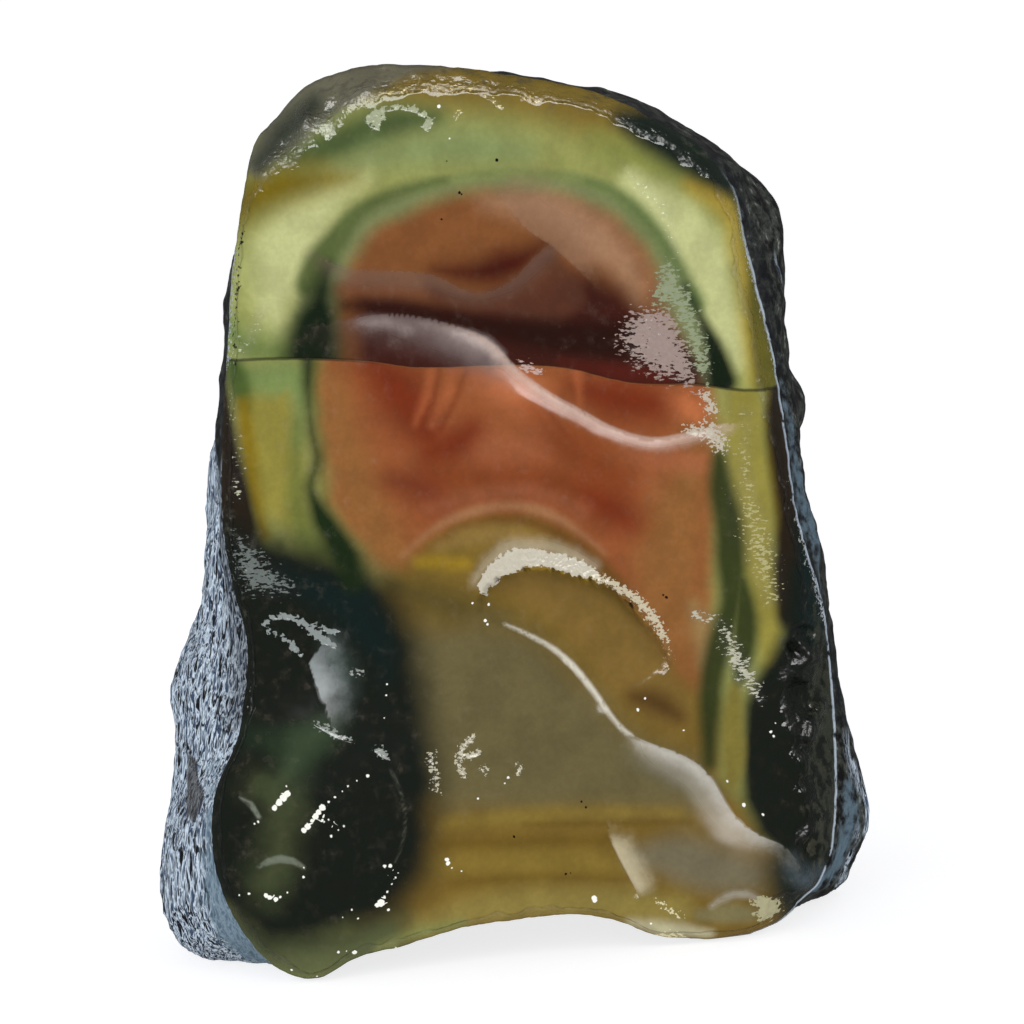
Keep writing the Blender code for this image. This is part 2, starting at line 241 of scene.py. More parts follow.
def stroke(*points, soft):
    """A stain along a line of (a, b, half-width), soft at its sides over this many millimetres."""
    def depth_inside(a, b):
        distance, width = beside(points, a, b)
        return (width - np.abs(distance)) / soft
    return depth_inside


def patch(*corners, soft):
    """A stain that fills a closed outline of (a, b) corners."""
    def depth_inside(a, b):
        outline = np.asarray(corners + corners[:1], float)
        distance = np.abs(line_distance(outline, a, b)[0])
        inside = np.zeros(len(a), bool)
        for (a0, b0), (a1, b1) in zip(outline, outline[1:]):
            rises = (b0 > b) != (b1 > b)
            inside ^= rises & (a < a0 + (a1 - a0) * (b - b0) / (b1 - b0 + 1e-12))
        return np.where(inside, distance, -distance) / soft
    return depth_inside


def veil(*points, above, below):
    """A painted reflection's mask, hanging from a line of (a, b, strength), soft over above and below
    millimetres.
    """
    def depth_inside(a, b):
        distance, strength = beside(points, a, b, limits=(0.0, 1.0))
        reach = np.where(distance > 0.0, above, below)
        return 2.0 * strength * (1.0 - np.abs(distance) / reach) - 1.0
    return depth_inside


def under(ledge, strengths, above, below):
    """A painted reflection's mask that hangs from a ledge, with a strength for each point of its line."""
    points = [(a, b, strength) for (a, b), strength in zip(LEDGES[ledge]["line"], strengths)]
    return veil(*points, above=above, below=below)


# Where the wet skin of the break is lumpy and pitted
LUMPY = [
    patch((30.4, 31.4), (31, 36), (32.2, 42), (33, 50), (45, 50), (45, 2), (31, 2), (29.6, 8), (30.8, 13),
          (31, 17.4), (30.6, 24), soft=1.2),
    stroke((-32, 84, 0.4), (-28.6, 90, 1.6), (-24, 94.4, 2.2), (-18.4, 97.8, 2.2), (-11, 99.4, 1.6),
           (-3, 99.2, 1.6), (6, 97.8, 1.4), (14, 94.8, 1.2), (24, 89.8, 1.4), (29, 84, 0.8), soft=1.2),
    stroke((-32.4, 62, 0.5), (-32.2, 52, 0.9), (-31, 44, 1.2), (-30.4, 38, 0.8), soft=1),
]
LUMPS = [(2.6, 0.45), (1.2, 0.16)]  # (size, height) of those lumps


def in_plane(turn, radius):
    """(a, b) at these turns in degrees and radii from the heart."""
    angle = np.radians(turn)
    return HEART[0] + radius * np.cos(angle), HEART[1] + radius * np.sin(angle)


def floor_radius(turn):
    """Radius at which a ray from the heart meets the floor."""
    heart_height = HEART[1] * math.cos(LEAN) - HEART[0] * math.sin(LEAN) - FLOOR
    down = -np.sin(np.radians(turn) - LEAN)
    return np.where(down > 0.05, heart_height / np.maximum(down, 0.05), 1e9)


def edge_radius(turn):
    """Radius of the edge of the break, with its small nicks, cut off at the floor."""
    radius = outline_radius(BREAK_EDGE, turn)
    a, b = in_plane(turn, radius)
    nicks = waves(np.stack([a, b, 0.0 * a], axis=1), EDGE_RAGGED, seed=5.0)
    return np.minimum(radius - np.abs(nicks), floor_radius(turn))


def ledge_depth(a, b, line, depth, below, above, lip):
    """A step in the break: deepest along its line, with a lip standing proud above it where it has one."""
    distance, share, _, _ = line_distance(smooth_line(line), a, b)
    run = np.sin(math.pi * np.clip(share, 0.0, 1.0)) ** 0.6
    fade = below[0] + (below[1] - below[0]) * share
    depth = depth[0] + (depth[1] - depth[0]) * share
    lower = depth * np.exp(np.minimum(distance, 0.0) / fade)
    upper = np.where(lip > 0, -lip, depth) * np.exp(-np.maximum(distance, 0.0) / above)
    return run * np.where(distance > 0, upper, lower)


def break_depth(a, b):
    """Depth y of the broken front at each point of the banding's plane."""
    y = FACE_RAKE * b
    for (middle_a, middle_b), (half_a, half_b), depth in SWELLS.values():
        y = y + depth * np.exp(-(((a - middle_a) / half_a) ** 2) - ((b - middle_b) / half_b) ** 2)
    y = y - HEEL_PROUD * (1.0 - smooth_step(HEEL_FOOT, HEEL_TOP, b))
    for ledge in LEDGES.values():
        y = y + ledge_depth(a, b, **ledge)
    flat = np.stack([a, b, 0.0 * a], axis=1)
    lumpy = smooth_step(-1.0, 1.5, np.max([stain(a, b) for stain in LUMPY], axis=0))
    return y + waves(flat, RIPPLES, seed=2.0) + lumpy * waves(flat, LUMPS, seed=4.0)


def onto_ledges(a, b, reach):
    """Draws the points that lie within reach of a ledge's line onto it, so that its edge is crisp."""
    for ledge in LEDGES.values():
        distance, share, foot_a, foot_b = line_distance(smooth_line(ledge["line"]), a, b)
        near = (np.abs(distance) < reach) & (share > 0.0) & (share < 1.0)
        a, b = np.where(near, foot_a, a), np.where(near, foot_b, b)
    return a, b


def edge_rounding(turn, inset, a, b):
    """(how far the break falls back near its edge, how far into the rounding, 1 at the edge) at a point
    that lies inset from the edge."""
    turns, widths, falls = zip(*EDGE_ROUNDING)
    width = round_heart(turns, widths, turn)
    fall = round_heart(turns, falls, turn)
    width = width * (1.0 + waves(np.stack([a, b, 0.0 * a], axis=1), EDGE_WANDER, seed=7.0))
    into = 1.0 - inset / width
    return fall * np.clip(into, 0.0, 1.0) ** EDGE_EASE, into


into_rounding = []  # of every ring of the break, for its finish


def break_ring(turn, share):
    """Points (a, y, b) of the break at this share of the way from the heart to its edge."""
    radius = edge_radius(turn)
    a, b = in_plane(turn, share * radius)
    if share < 0.97:
        a, b = onto_ledges(a, b, 0.45 * radius.mean() / FACE_RINGS)
    fallen, into = edge_rounding(turn, (1.0 - share) * radius, a, b)
    into_rounding.append(np.clip(into, -3.0, 1.0))
    return np.stack([a, break_depth(a, b) + fallen, b], axis=1)


def fibre_share(points):
    """Where the rind is ribbed: low on the left, along the lower right, and in patches over the back."""
    a, y, b = points.T
    left = smooth_step(-20.0, -28.0, a) * smooth_step(62.0, 50.0, b)
    right = 0.45 * smooth_step(35.0, 38.0, a) * smooth_step(40.0, 34.0, b)
    patches = smooth_step(-0.05, 0.25, waves(points, [(30.0, 1.0)], seed=9.0))
    return np.clip(left + right + patches * smooth_step(20.0, 30.0, y), 0.0, 1.0)


def rind_relief(points):
    """Height of the rind's lumps, pits and ribs at each point."""
    stretched = points / np.array([FIBRE_SIZE, FIBRE_SIZE, FIBRE_LENGTH])
    ribs = 1.0 - np.abs(waves(stretched, [(1.0, 2.0)]))
    fibres = (ribs - 0.95) * FIBRE_HEIGHT * fibre_share(points)
    return waves(points, RIND_LUMPS) + fibres


def rind_ring(turn, side, back):
    """Points (a, y, b) of the rind. side runs 0 to 1 from the edge of the break to the girdle, then back
    runs 0 to 1 from the girdle to the middle of the back."""
    inward = math.cos(back * math.pi / 2)
    floor = floor_radius(turn)
    edge = edge_radius(turn)
    edge_y = break_ring(turn, 1.0)[:, 1]
    girdle_y = round_heart(*zip(*GIRDLE_DEPTH), turn)
    girdle_radius = outline_radius(GIRDLE, turn)
    girdle_radius = girdle_radius + (BACK_MEAN_RADIUS - girdle_radius) * back
    swell = 1.0 - (1.0 - side) ** round_heart(*zip(*GIRDLE_EASE), turn)
    radius = (edge + (girdle_radius - edge) * swell) * inward
    a, b = in_plane(turn, radius)
    back_y = BACK_DEPTH - BACK_TAPER * np.maximum(b - TAPER_FROM, 0.0)
    bulge = (1.0 - inward**BACK_ROUND) ** (1.0 / BACK_ROUND)
    y = edge_y + (girdle_y - edge_y) * side + (back_y - girdle_y) * bulge
    lumps = rind_relief(np.stack([a, y, b], axis=1)) * smooth_step(0.0, RIND_FADE, y - edge_y)
    a, b = in_plane(turn, np.minimum(radius + lumps * inward, floor))
    return np.stack([a, y + lumps * math.sqrt(1.0 - inward**2), b], axis=1)


def turns_of(count):
    return np.arange(count) * 360.0 / count


def stone_rings():
    """Rings of points (a, y, b) from the middle of the break over its edge to the middle of the back."""
    rings = [break_ring(turns_of(1), 0.0)]
    for ring in range(1, FACE_RINGS + 1):
        rings.append(break_ring(turns_of(RING_STEP * ring), ring / FACE_RINGS))
    widest = RING_STEP * FACE_RINGS
    for row in range(1, SIDE_ROWS + 1):
        rings.append(rind_ring(turns_of(widest), row / SIDE_ROWS, 0.0))
    for row in range(1, BACK_ROWS):
        back = row / BACK_ROWS
        count = max(RING_STEP, round(BACK_THINNING * widest * math.cos(back * math.pi / 2)))
        rings.append(rind_ring(turns_of(count), 1.0, back))
    rings.append(rind_ring(turns_of(1), 1.0, 1.0))
    return rings


def zip_rings(first, second):
    """Triangles between two rings of any counts, each a list of vertices at even turns."""
    faces = []
    i = j = 0
    while i < len(first) or j < len(second):
        next_i, next_j = (i + 1) / len(first), (j + 1) / len(second)
        one, other = first[i % len(first)], second[j % len(second)]
        if j >= len(second) or (i < len(first) and next_i <= next_j and len(first) > 1):
            faces.append((one, first[(i + 1) % len(first)], other))
            i += 1
        else:
            faces.append((one, second[(j + 1) % len(second)], other))
            j += 1
        if len(first) == 1 and j >= len(second) or len(second) == 1 and i >= len(first):
            break
    return faces


def turned_up(places):
    """One place (a, y, b), or rows of them, turned until the stone stands on its feet, in metres."""
    a, y, b = np.asarray(places, float).T
    x = a * math.cos(LEAN) + b * math.sin(LEAN)
    z = b * math.cos(LEAN) - a * math.sin(LEAN)
    return np.stack([x, y, z], axis=-1) * METRES


rings = stone_rings()
places = np.concatenate(rings)  # every point of the surface as (a, y, b)
ends = np.cumsum([len(ring) for ring in rings])
loops = [range(end - len(ring), end) for ring, end in zip(rings, ends)]
triangles = [corners for pair in zip(loops, loops[1:]) for corners in zip_rings(*pair)]
upright = turned_up(places)
box_low, box_high = upright.min(0), upright.max(0)
origin = np.append((box_low + box_high)[:2] / 2, box_low[2])  # under the middle of the stone's box
stone_mesh = bpy.data.meshes.new("jasper_stone")
stone_mesh.from_pydata(upright - origin, [], triangles)
stone_mesh.update()
stone_mesh.shade_smooth()
stone = bpy.data.objects.new("jasper_stone", stone_mesh)
bpy.context.scene.collection.objects.link(stone)


# Its bands of colour. The silica took up iron and clay in zones: a red brown heart under an arch of
# green, pale yellow green walls, ochre at the margins, near black green at the feet. Every zone is a
# soft stain with an outline of its own.

# The horizontal crack across the stone, which the zones change at: (a, b)
CRACK = [
    (-34.6, 67.8), (-25.6, 68.1), (-20.4, 68), (-15.9, 67.7), (-12.8, 67.2), (-2.1, 67.2),
    (2.9, 67.1), (6.2, 66.8), (9.3, 66), (12.7, 65.3), (20.2, 65.2), (25.3, 64.6), (32.7, 64.9),
]

OVER, UNDER = "over", "under"  # which side of the crack a stain lies on

# From the bottom up: (name, colour as read on a card from 0 to 255, side of the crack, strength, stains)
STAINS = [
    # Above the crack: an ochre cap, green under it, pale walls down both sides
    ("ochre_cap", (132, 112, 56), OVER, 1, [
        stroke((-21, 100, 2.4), (-13, 99.6, 3.4), (-5, 99.4, 4), (3, 98.8, 4.4), (9.5, 97, 4.6),
               (15, 95.2, 4), soft=2.2)]),
    ("moss", (84, 98, 62), OVER, 1, [
        stroke((-25.6, 90, 1), (-22, 91, 1.8), (-17.5, 92.6, 2.2), (-13.5, 94, 2), (-9, 94.6, 1),
               soft=1.8)]),
    ("grass", (136, 150, 98), OVER, 0.9, [
        stroke((-19, 89.4, 0.8), (-12, 91, 1.6), (-5, 91.4, 2), (1, 90.8, 1.2), soft=2)]),
    ("olive_top", (132, 138, 74), OVER, 0.9, [
        stroke((9, 92, 1), (14, 90.4, 1.8), (19.4, 88.2, 1.6), soft=2.2)]),
    ("lower_walls", (162, 166, 98), OVER, 1, [
        stroke((-27, 80, 4), (-28, 74, 4.4), (-29, 69, 4.4), soft=1.6),
        stroke((21.6, 76, 2.4), (23.6, 71, 2.6), (25.4, 66, 2.4), soft=1.4)]),
    ("pale_walls", (194, 197, 138), OVER, 1, [
        stroke((-17, 88, 0.5), (-20.6, 86, 2), (-23.6, 82.6, 3.6), (-25.6, 78.4, 3.8), (-26.6, 74.4, 2),
               (-26.4, 71, 0.4), soft=2.6),
        stroke((12.8, 87.4, 1.2), (16.4, 84.2, 2.7), (20, 79.4, 3.3), (22, 74.6, 2.6), (23.6, 70.6, 1.8),
               (24.8, 67.6, 0.8), soft=1.6)]),
    ("ochre_shoulder", (122, 106, 34), OVER, 1, [
        stroke((-31.4, 84.6, 2.4), (-27.4, 86.8, 2.4), (-22.6, 87.8, 1.7), (-18, 88.2, 0.2), soft=2.4)]),
    ("green_corner", (112, 132, 76), OVER, 0.9, [
        stroke((-32.6, 72, 1.2), (-29.6, 69.4, 1.8), (-25.4, 68.8, 1.6), soft=2.2)]),
    ("amber", (174, 150, 64), OVER, 1, [
        stroke((19.4, 87.4, 0.8), (22, 86.4, 1.5), (23.9, 84.4, 1.4), (24.8, 82.2, 0.8), soft=1.4),
        stroke((24.6, 81.3, 0.8), (25.4, 78, 1.1), (26.1, 74.7, 1.3), (26.7, 70.8, 1.3), (27.3, 66, 1.2),
               soft=1.7)]),
    ("olive_rim", (96, 92, 36), OVER, 0.9, [
        stroke((23.6, 88, 0.8), (26, 82, 0.8), (27, 78, 1.3), (27.4, 74, 1.8), (28, 70, 1.9),
               (28.6, 65.6, 2.1), soft=0.9)]),
    ("grey_shoulder", (116, 113, 96), OVER, 0.95, [
        stroke((-29, 89.6, 1.3), (-26, 93, 2.2), (-22, 96.4, 2.4), (-17, 98.8, 1.9), (-11.5, 100.2, 1),
               (-6, 100.6, 0.5), soft=0.8)]),
    ("shoulder_shade", (58, 64, 57), OVER, 0.9, [
        stroke((-28.4, 89.6, 1), (-25.4, 93.2, 1.3), (-22.4, 96, 1), soft=1.4)]),
    ("dark_brow", (42, 50, 45), OVER, 1, [
        stroke((11.6, 94.6, 0.8), (14.6, 93.4, 2.2), (17, 92.6, 2.8), (20.6, 90.4, 2.8), (23.6, 88, 2.2),
               (25.4, 86.4, 1), soft=1.4)]),
    # The arch: a green line round the red brown dome
    ("halo", (128, 137, 92), OVER, 1, [
        patch((-25.2, 64.9), (-24.3, 72.7), (-23.4, 76.3), (-22.2, 78.2), (-20.8, 80.8), (-18, 84),
              (-15.1, 85.7), (-11.7, 86.9), (-7.8, 87.8), (-4, 88.3), (0.3, 88.7), (6.7, 88), (10.1, 86.9),
              (13.1, 84.8), (15.9, 81.7), (18.2, 78), (20.1, 74.1), (21.8, 70.2), (24.3, 62.2), soft=1)]),
    ("arch_crown", (124, 136, 84), OVER, 0.9, [
        stroke((-9, 87.6, 0.3), (-4, 88.4, 0.4), (0.3, 88.7, 0.4), (6.7, 88, 0.5), (10.1, 86.9, 0.5),
               soft=0.7)]),
    ("arch_left", (96, 108, 66), OVER, 1, [
        stroke((-23, 76.3, 1.4), (-22, 78.6, 1.5), (-20, 81, 1.4), (-17.6, 84, 1), (-14.8, 85.7, 0.8),
               (-11.4, 86.9, 0.6), (-7.8, 87.8, 0.3), soft=0.9)]),
    ("arch_right", (106, 122, 76), OVER, 1, [
        stroke((8, 87.6, 0.3), (10.4, 86.7, 0.5), (13.2, 84.6, 0.8), (15.9, 81.5, 0.8), (18.2, 77.8, 0.8),
               (20.1, 74.1, 0.9), soft=0.9)]),
    ("red_dome", (134, 87, 55), OVER, 1, [
        patch((-20.3, 64.3), (-20.1, 71.3), (-19.8, 74.7), (-19, 77.1), (-18, 79.1), (-16.8, 81.2),
              (-15.2, 82.7), (-11.7, 84.3), (-7.3, 86.1), (-3.1, 86.7), (0.3, 86.1), (4.6, 85.7),
              (8.9, 84.8), (11.4, 83.3), (14, 80.8), (15.2, 78.7), (16.2, 75.8), (17.3, 72.4), (19.1, 69.1),
              (21.5, 62), soft=1.5)]),
    ("dome_light", (166, 126, 96), OVER, 0.95, [
        stroke((-3, 85.4, 0.8), (1.6, 84.8, 1.6), (5.6, 83.6, 2.2), (9.8, 80.8, 2.2), (12.6, 77.4, 1.6),
               (13.4, 74.4, 1), soft=2)]),
    ("maroon", (72, 42, 30), OVER, 1, [
        patch((-18, 75.6), (-14, 75.6), (-9, 74.6), (-4.4, 73.8), (0.6, 75.4), (4.6, 77), (8.4, 77.6),
              (12, 75.6), (14.6, 72.8), (17.4, 70.4), (21, 66.6), (22, 62), (-18, 62), soft=2)]),
    ("rust_step", (122, 80, 58), OVER, 0.8, [
        stroke((-19.6, 75.6, 0.6), (-14.6, 75.6, 1), (-9.6, 75, 0.7), soft=1)]),
    ("dome_window", (76, 36, 22), OVER, 1, [
        stroke((-9, 77.8, 0.3), (-5, 77.4, 1.2), (-1.6, 78, 1.8), (1.2, 79.2, 1.2), (3, 80.6, 0.4),
               soft=2)]),
    ("window_shade", (96, 62, 50), OVER, 0.8, [
        patch((-10.4, 77), (-6.1, 75.4), (-3.9, 75), (-0.1, 76.5), (3.8, 80.4), (7.4, 76.6), (8, 74.2),
              (5, 71.8), (-3.5, 72.8), (-9.6, 74.2), soft=0.9)]),
    ("deep_maroon", (52, 24, 15), OVER, 0.95, [
        stroke((-19, 74, 0.3), (-14, 73.6, 0.7), (-7.6, 72.4, 0.9), (0.4, 70.8, 1.5), (9.3, 70, 2.1),
               (15, 69.6, 2.2), (18.8, 67.4, 1.2), soft=1.4)]),
    ("crack_shade", (90, 44, 30), OVER, 0.8, [
        stroke((5, 67.6, 0.4), (11, 66.6, 0.9), (17, 66, 0.8), soft=0.9)]),
    ("wedges", (33, 47, 29), OVER, 1, [
        stroke((-20.9, 78, 0.6), (-21.6, 75, 1.6), (-22.1, 71.6, 2.9), (-22.5, 68, 3.6), soft=2),
        stroke((18.8, 76, 0.2), (20.6, 72.4, 0.4), (22, 69.2, 1.1), (22.9, 65.6, 1.7), soft=0.9)]),
    # Below the crack: yellow walls with brown margins, and green seams between them and the red body
    ("yellow_walls", (150, 141, 70), UNDER, 1, [
        stroke((-27.4, 63, 3), (-27.1, 57, 3.2), (-26, 52.6, 2.6), (-24.4, 50, 1.2), soft=1.6),
        stroke((25.2, 64.5, 2), (25.5, 58, 2.3), (26.4, 50, 2.4), (27.4, 43.6, 1.8), (28.2, 38, 1.5),
               (28.3, 34.4, 0.9), soft=1)]),
    ("leaf_green", (126, 143, 86), UNDER, 1, [
        stroke((-31, 66.4, 0.8), (-27.6, 65.8, 1.9), (-24.6, 66, 1.7), (-23.8, 63, 0.8), (-24.2, 59, 0.4),
               soft=1.4)]),
    ("seam_green", (106, 116, 62), UNDER, 0.8, [
        stroke((-24.3, 61, 0.4), (-24.4, 55, 0.8), (-24, 50, 1.3), (-22.4, 46.6, 1.6), soft=1.3),
        stroke((-21.9, 67.4, 0.5), (-21.9, 62.9, 0.4), (-21, 59, 0.4), (-21.3, 55, 0.3), (-20.8, 52, 0.3),
               soft=0.7)]),
    ("margin_green", (72, 92, 50), UNDER, 0.9, [
        stroke((-31.4, 67.6, 1.1), (-30.6, 65, 1.3), (-30.2, 63, 0.8), soft=1)]),
    ("ochre_margins", (134, 114, 34), UNDER, 1, [
        stroke((-30.2, 63, 0.7), (-29.7, 58, 0.9), (-29, 53, 0.8), (-28, 48.5, 0.6), soft=1),
        stroke((28.3, 64.4, 0.4), (28.6, 58, 0.6), (29.4, 52, 0.7), (30, 46, 0.6), (30, 40, 0.4),
               soft=0.9)]),
    ("brown_margins", (52, 46, 35), UNDER, 1, [
        stroke((-33, 66.6, 0.8), (-33, 60, 1.9), (-32.4, 54, 2.7), (-31.4, 48, 3), (-31, 43, 2.4), soft=0.8),
        stroke((29.4, 65.6, 1.3), (29.6, 60, 1.8), (30.4, 55, 1.9), (31.2, 50, 2.2), (31.2, 45, 2.6),
               (31, 40, 2), soft=0.9)]),
    # The red body
    ("red_body", (152, 90, 57), UNDER, 1, [
        patch((-21.7, 70), (-21.6, 63.6), (-21, 59.1), (-20.2, 55.8), (-20.4, 52.4), (-18.4, 49.4),
              (-15.4, 46.6), (-11.6, 42.4), (-4, 36.9), (9.3, 32.4), (20.4, 28.6), (21.3, 36.9),
              (21.8, 45.8), (22, 52.4), (22, 59.1), (21.8, 68), soft=1.4)]),
    ("brown_flanks", (147, 101, 60), UNDER, 0.95, [
        stroke((-20.2, 66, 1.2), (-19.2, 59.1, 2.2), (-17.3, 52.4, 2.9), (-13.8, 46.3, 2.4), soft=2.6),
        stroke((20.4, 60, 1.4), (19, 54, 2.6), (17.6, 49, 3.6), (17, 44, 4), (18, 38, 3.4), (19.4, 33, 2),
               soft=2.6)]),
    ("tan_flank", (156, 132, 88), UNDER, 0.85, [
        stroke((19.8, 40.6, 0.4), (20.8, 37.8, 0.9), (20.9, 34.4, 0.6), soft=1.4)]),
    ("orange_fan", (192, 114, 74), UNDER, 0.95, [
        stroke((-4.6, 66, 0.5), (-1.4, 65.2, 1.4), (1.8, 63.4, 1.9), (3.4, 60.8, 1), soft=2),
        stroke((16.6, 63.4, 0.9), (18.6, 63, 1.2), (20.2, 62, 0.9), soft=1.5)]),
    ("rust_glow", (168, 102, 70), UNDER, 0.8, [
        stroke((-5, 58, 2), (0, 57, 2.4), (3, 58.6, 1.6), soft=2.6),
        stroke((13, 57.4, 1), (17.4, 57, 1.4), (20.4, 56.6, 1), soft=1.4)]),
    ("brick", (122, 56, 32), UNDER, 0.95, [
        stroke((-15.8, 67.4, 1.6), (-12.8, 64.6, 3), (-10.4, 60.8, 2.4), (-8.4, 57.8, 1.2), soft=2.6),
        stroke((-9.4, 57.8, 1.4), (-6.8, 58.6, 2), (-4.9, 60.2, 1.2), soft=1.9),
        stroke((6.8, 64.8, 1), (11, 63.6, 2.4), (15.2, 63, 2), soft=2.3),
        stroke((7.4, 53.4, 1.2), (10.4, 51.7, 2.3), (12.8, 50, 1.2), soft=2.6)]),
    ("brick_haze", (130, 68, 40), UNDER, 0.85, [
        stroke((2, 62.4, 0.6), (5, 58.8, 2), (8.6, 56.4, 2.2), (11.4, 55, 1.4), soft=2.6),
        stroke((-8.6, 55.4, 1.4), (-2, 54.8, 2), (5, 54.4, 2), soft=2.4)]),
    ("plum", (120, 62, 45), UNDER, 0.9, [
        stroke((-13.6, 54.6, 1), (-10.9, 54.2, 1.8), (-8.6, 52.4, 1.4), soft=2.2)]),
    ("rose_band", (148, 90, 64), UNDER, 0.8, [
        stroke((-9.8, 51.6, 0.5), (-3.6, 53.2, 0.8), (3, 53.2, 0.8), (7.4, 51.2, 0.6), soft=1.1)]),
    ("fan_rays", (184, 106, 68), UNDER, 0.6, [
        stroke((-9.4, 67, 0.4), (-9.9, 63.6, 0.5), (-11.2, 60.8, 0.2), soft=0.8),
        stroke((-6.8, 67, 0.6), (-7.8, 64, 0.6), (-9.4, 60.8, 0.2), soft=0.8),
        stroke((6.8, 66.6, 0.4), (7, 64.2, 0.3), (7.2, 62.6, 0.2), soft=0.7)]),
    ("fan_streaks", (120, 56, 34), UNDER, 0.55, [
        stroke((-8.4, 67.1, 0.15), (-9.1, 63.9, 0.15), (-10.4, 61.3, 0.1), soft=0.5),
        stroke((-5.4, 66.9, 0.15), (-6.7, 63.5, 0.2), (-8.4, 60.1, 0.1), soft=0.5),
        stroke((2.9, 63.9, 0.15), (4.2, 61.3, 0.2), (5.9, 59.4, 0.1), soft=0.6),
        stroke((8.1, 66.4, 0.2), (8.4, 63.1, 0.1), soft=0.5)]),
    # The brown dome below it, which runs down between the feet
    ("under_arch", (125, 102, 52), UNDER, 1, [
        patch((-18, 30), (-17, 41.5), (-13, 44.6), (-9.8, 47.8), (-6.3, 49.9), (-2.1, 50.8), (1.4, 50.5),
              (5.2, 48.8), (8, 46.4), (10.8, 43.6), (13.6, 40.4), (15.4, 36.9), (17.6, 33), (22.4, 30),
              (23, 22), (28, 16), (34, 12), (34, -4), (-18, -4), soft=1.6)]),
    ("arch_rim", (164, 120, 86), UNDER, 0.8, [
        stroke((-12.6, 46.2, 0.1), (-11, 47.8, 0.2), (-7.4, 50.3, 0.4), (-4.2, 51.4, 0.5), (-0.7, 51.9, 0.5),
               (1.8, 51.6, 0.5), (4.6, 50.5, 0.5), (7.2, 48.8, 0.3), (10, 46.4, 0.1), soft=0.7)]),
    ("arch_shade", (110, 80, 44), UNDER, 0.8, [
        stroke((-9.4, 47.4, 0.2), (-6, 49.4, 0.4), (-2, 50.4, 0.5), (1.6, 50.1, 0.6), (5, 48.7, 0.7),
               (8, 46.6, 0.8), (10.5, 44.2, 0.8), (13, 41.2, 0.5), soft=0.8)]),
    ("tan_crown", (152, 124, 72), UNDER, 0.9, [
        stroke((-8.4, 47.2, 0.6), (-4.6, 48.6, 0.8), (-0.6, 48.6, 0.9), (3, 47.4, 0.8), soft=1.3)]),
    ("yellow_spot", (160, 131, 48), UNDER, 0.95, [
        stroke((-10.8, 45.4, 0.4), (-8.4, 45.6, 0.8), (-5.6, 45.4, 0.4), soft=1.1)]),
    ("dusk", (94, 83, 50), UNDER, 0.9, [
        stroke((-13.6, 43, 0.8), (-10, 41.6, 1.8), (-5.6, 40.2, 1.8), (-1.6, 39, 1), soft=2.2)]),
    ("brown_hollow", (132, 106, 58), UNDER, 1, [
        stroke((-1.2, 43, 0.8), (3.6, 42, 2.4), (9, 38.6, 3.4), (13.4, 34, 3.6), (17, 29.6, 2.4),
               soft=1.5)]),
    ("gold_lip", (150, 120, 44), UNDER, 0.9, [
        stroke((0.6, 45, 0.3), (4.6, 44.8, 0.5), (8.2, 43.4, 0.3), soft=0.7)]),
    ("umber_pocket", (86, 64, 36), UNDER, 0.85, [
        stroke((13.2, 30.6, 0.8), (15.8, 30, 1.4), (18, 28.6, 0.8), soft=1.3)]),
    ("grey_heel", (110, 101, 70), UNDER, 1, [
        patch((-13.5, 38), (-3, 38.6), (2, 37.6), (6.4, 33.4), (10.8, 28.6), (14.4, 25.8), (20, 23.8),
              (23, 20.6), (18, 18.4), (4, 18.6), (-8, 18.6), (-14.6, 24), soft=2.6)]),
    ("gold_bands", (138, 117, 58), UNDER, 0.8, [
        stroke((-8, 17, 0.6), (0, 17.8, 0.8), (8, 18.2, 0.7), (18, 18.3, 0.4), soft=0.9),
        stroke((-9, 12.4, 0.8), (0, 12.8, 1.4), (8, 12.6, 1.2), (13, 12, 0.5), soft=1.5)]),
    ("umber_bands", (108, 87, 40), UNDER, 0.8, [
        stroke((1, 16.9, 0.1), (8, 17, 0.2), (19.5, 17.3, 0.2), soft=0.5),
        stroke((-8, 14.8, 0.3), (2, 15, 0.4), (12, 15.2, 0.3), soft=1),
        stroke((-7, 10.6, 0.2), (4, 10.9, 0.3), (13, 10.6, 0.2), soft=0.9)]),
    ("olive_foot", (146, 130, 72), UNDER, 1, [
        stroke((-10, 5.8, 1.4), (-4, 7.4, 1.7), (3, 8.2, 1.8), (10, 8.2, 1.7), (18, 7.6, 1.9), soft=1.5)]),
    ("grey_toe", (120, 112, 90), UNDER, 0.95, [
        stroke((13.6, 13.4, 1.2), (17.6, 13.6, 2.4), (22, 12.4, 2.6), (26, 11.6, 1.8), soft=1.8)]),
    ("toe_dark", (46, 51, 48), UNDER, 1, [
        patch((27.6, 13.2), (29.6, 15.4), (33, 14), (36, 20), (42, 20), (42, -2), (28, 1), (29.4, 6.2),
              (27.8, 9.8), soft=2.4)]),
    ("pale_sole", (188, 182, 148), UNDER, 0.95, [
        stroke((12.8, 6.1, 0.3), (15.7, 5.5, 0.8), (18.3, 5.3, 0.9), (21.4, 4.9, 0.5), soft=0.9)]),
    ("toe_pocket", (130, 122, 86), UNDER, 0.95, [
        stroke((20.4, 7.2, 0.7), (23.6, 7.4, 1.1), (26, 7.2, 0.8), soft=0.8)]),
    # Near black green at the feet, with teal, olive and moss showing through it
    ("left_foot_rim", (98, 104, 72), UNDER, 1, [
        stroke((-31, 5, 2.4), (-25, 3, 3.4), (-19, 3.6, 3), (-14, 5.2, 2.4), soft=2.4)]),
    ("foot_edge", (138, 142, 86), UNDER, 0.9, [
        stroke((-15, 3.6, 0.4), (-11, 5, 0.7), (-6, 6, 0.5), soft=0.9)]),
    ("dark_feet", (37, 44, 36), UNDER, 1, [
        patch((-40, 50.6), (-33.5, 50.4), (-27.6, 48.8), (-22.5, 47.4), (-17.4, 46), (-13.4, 42.6),
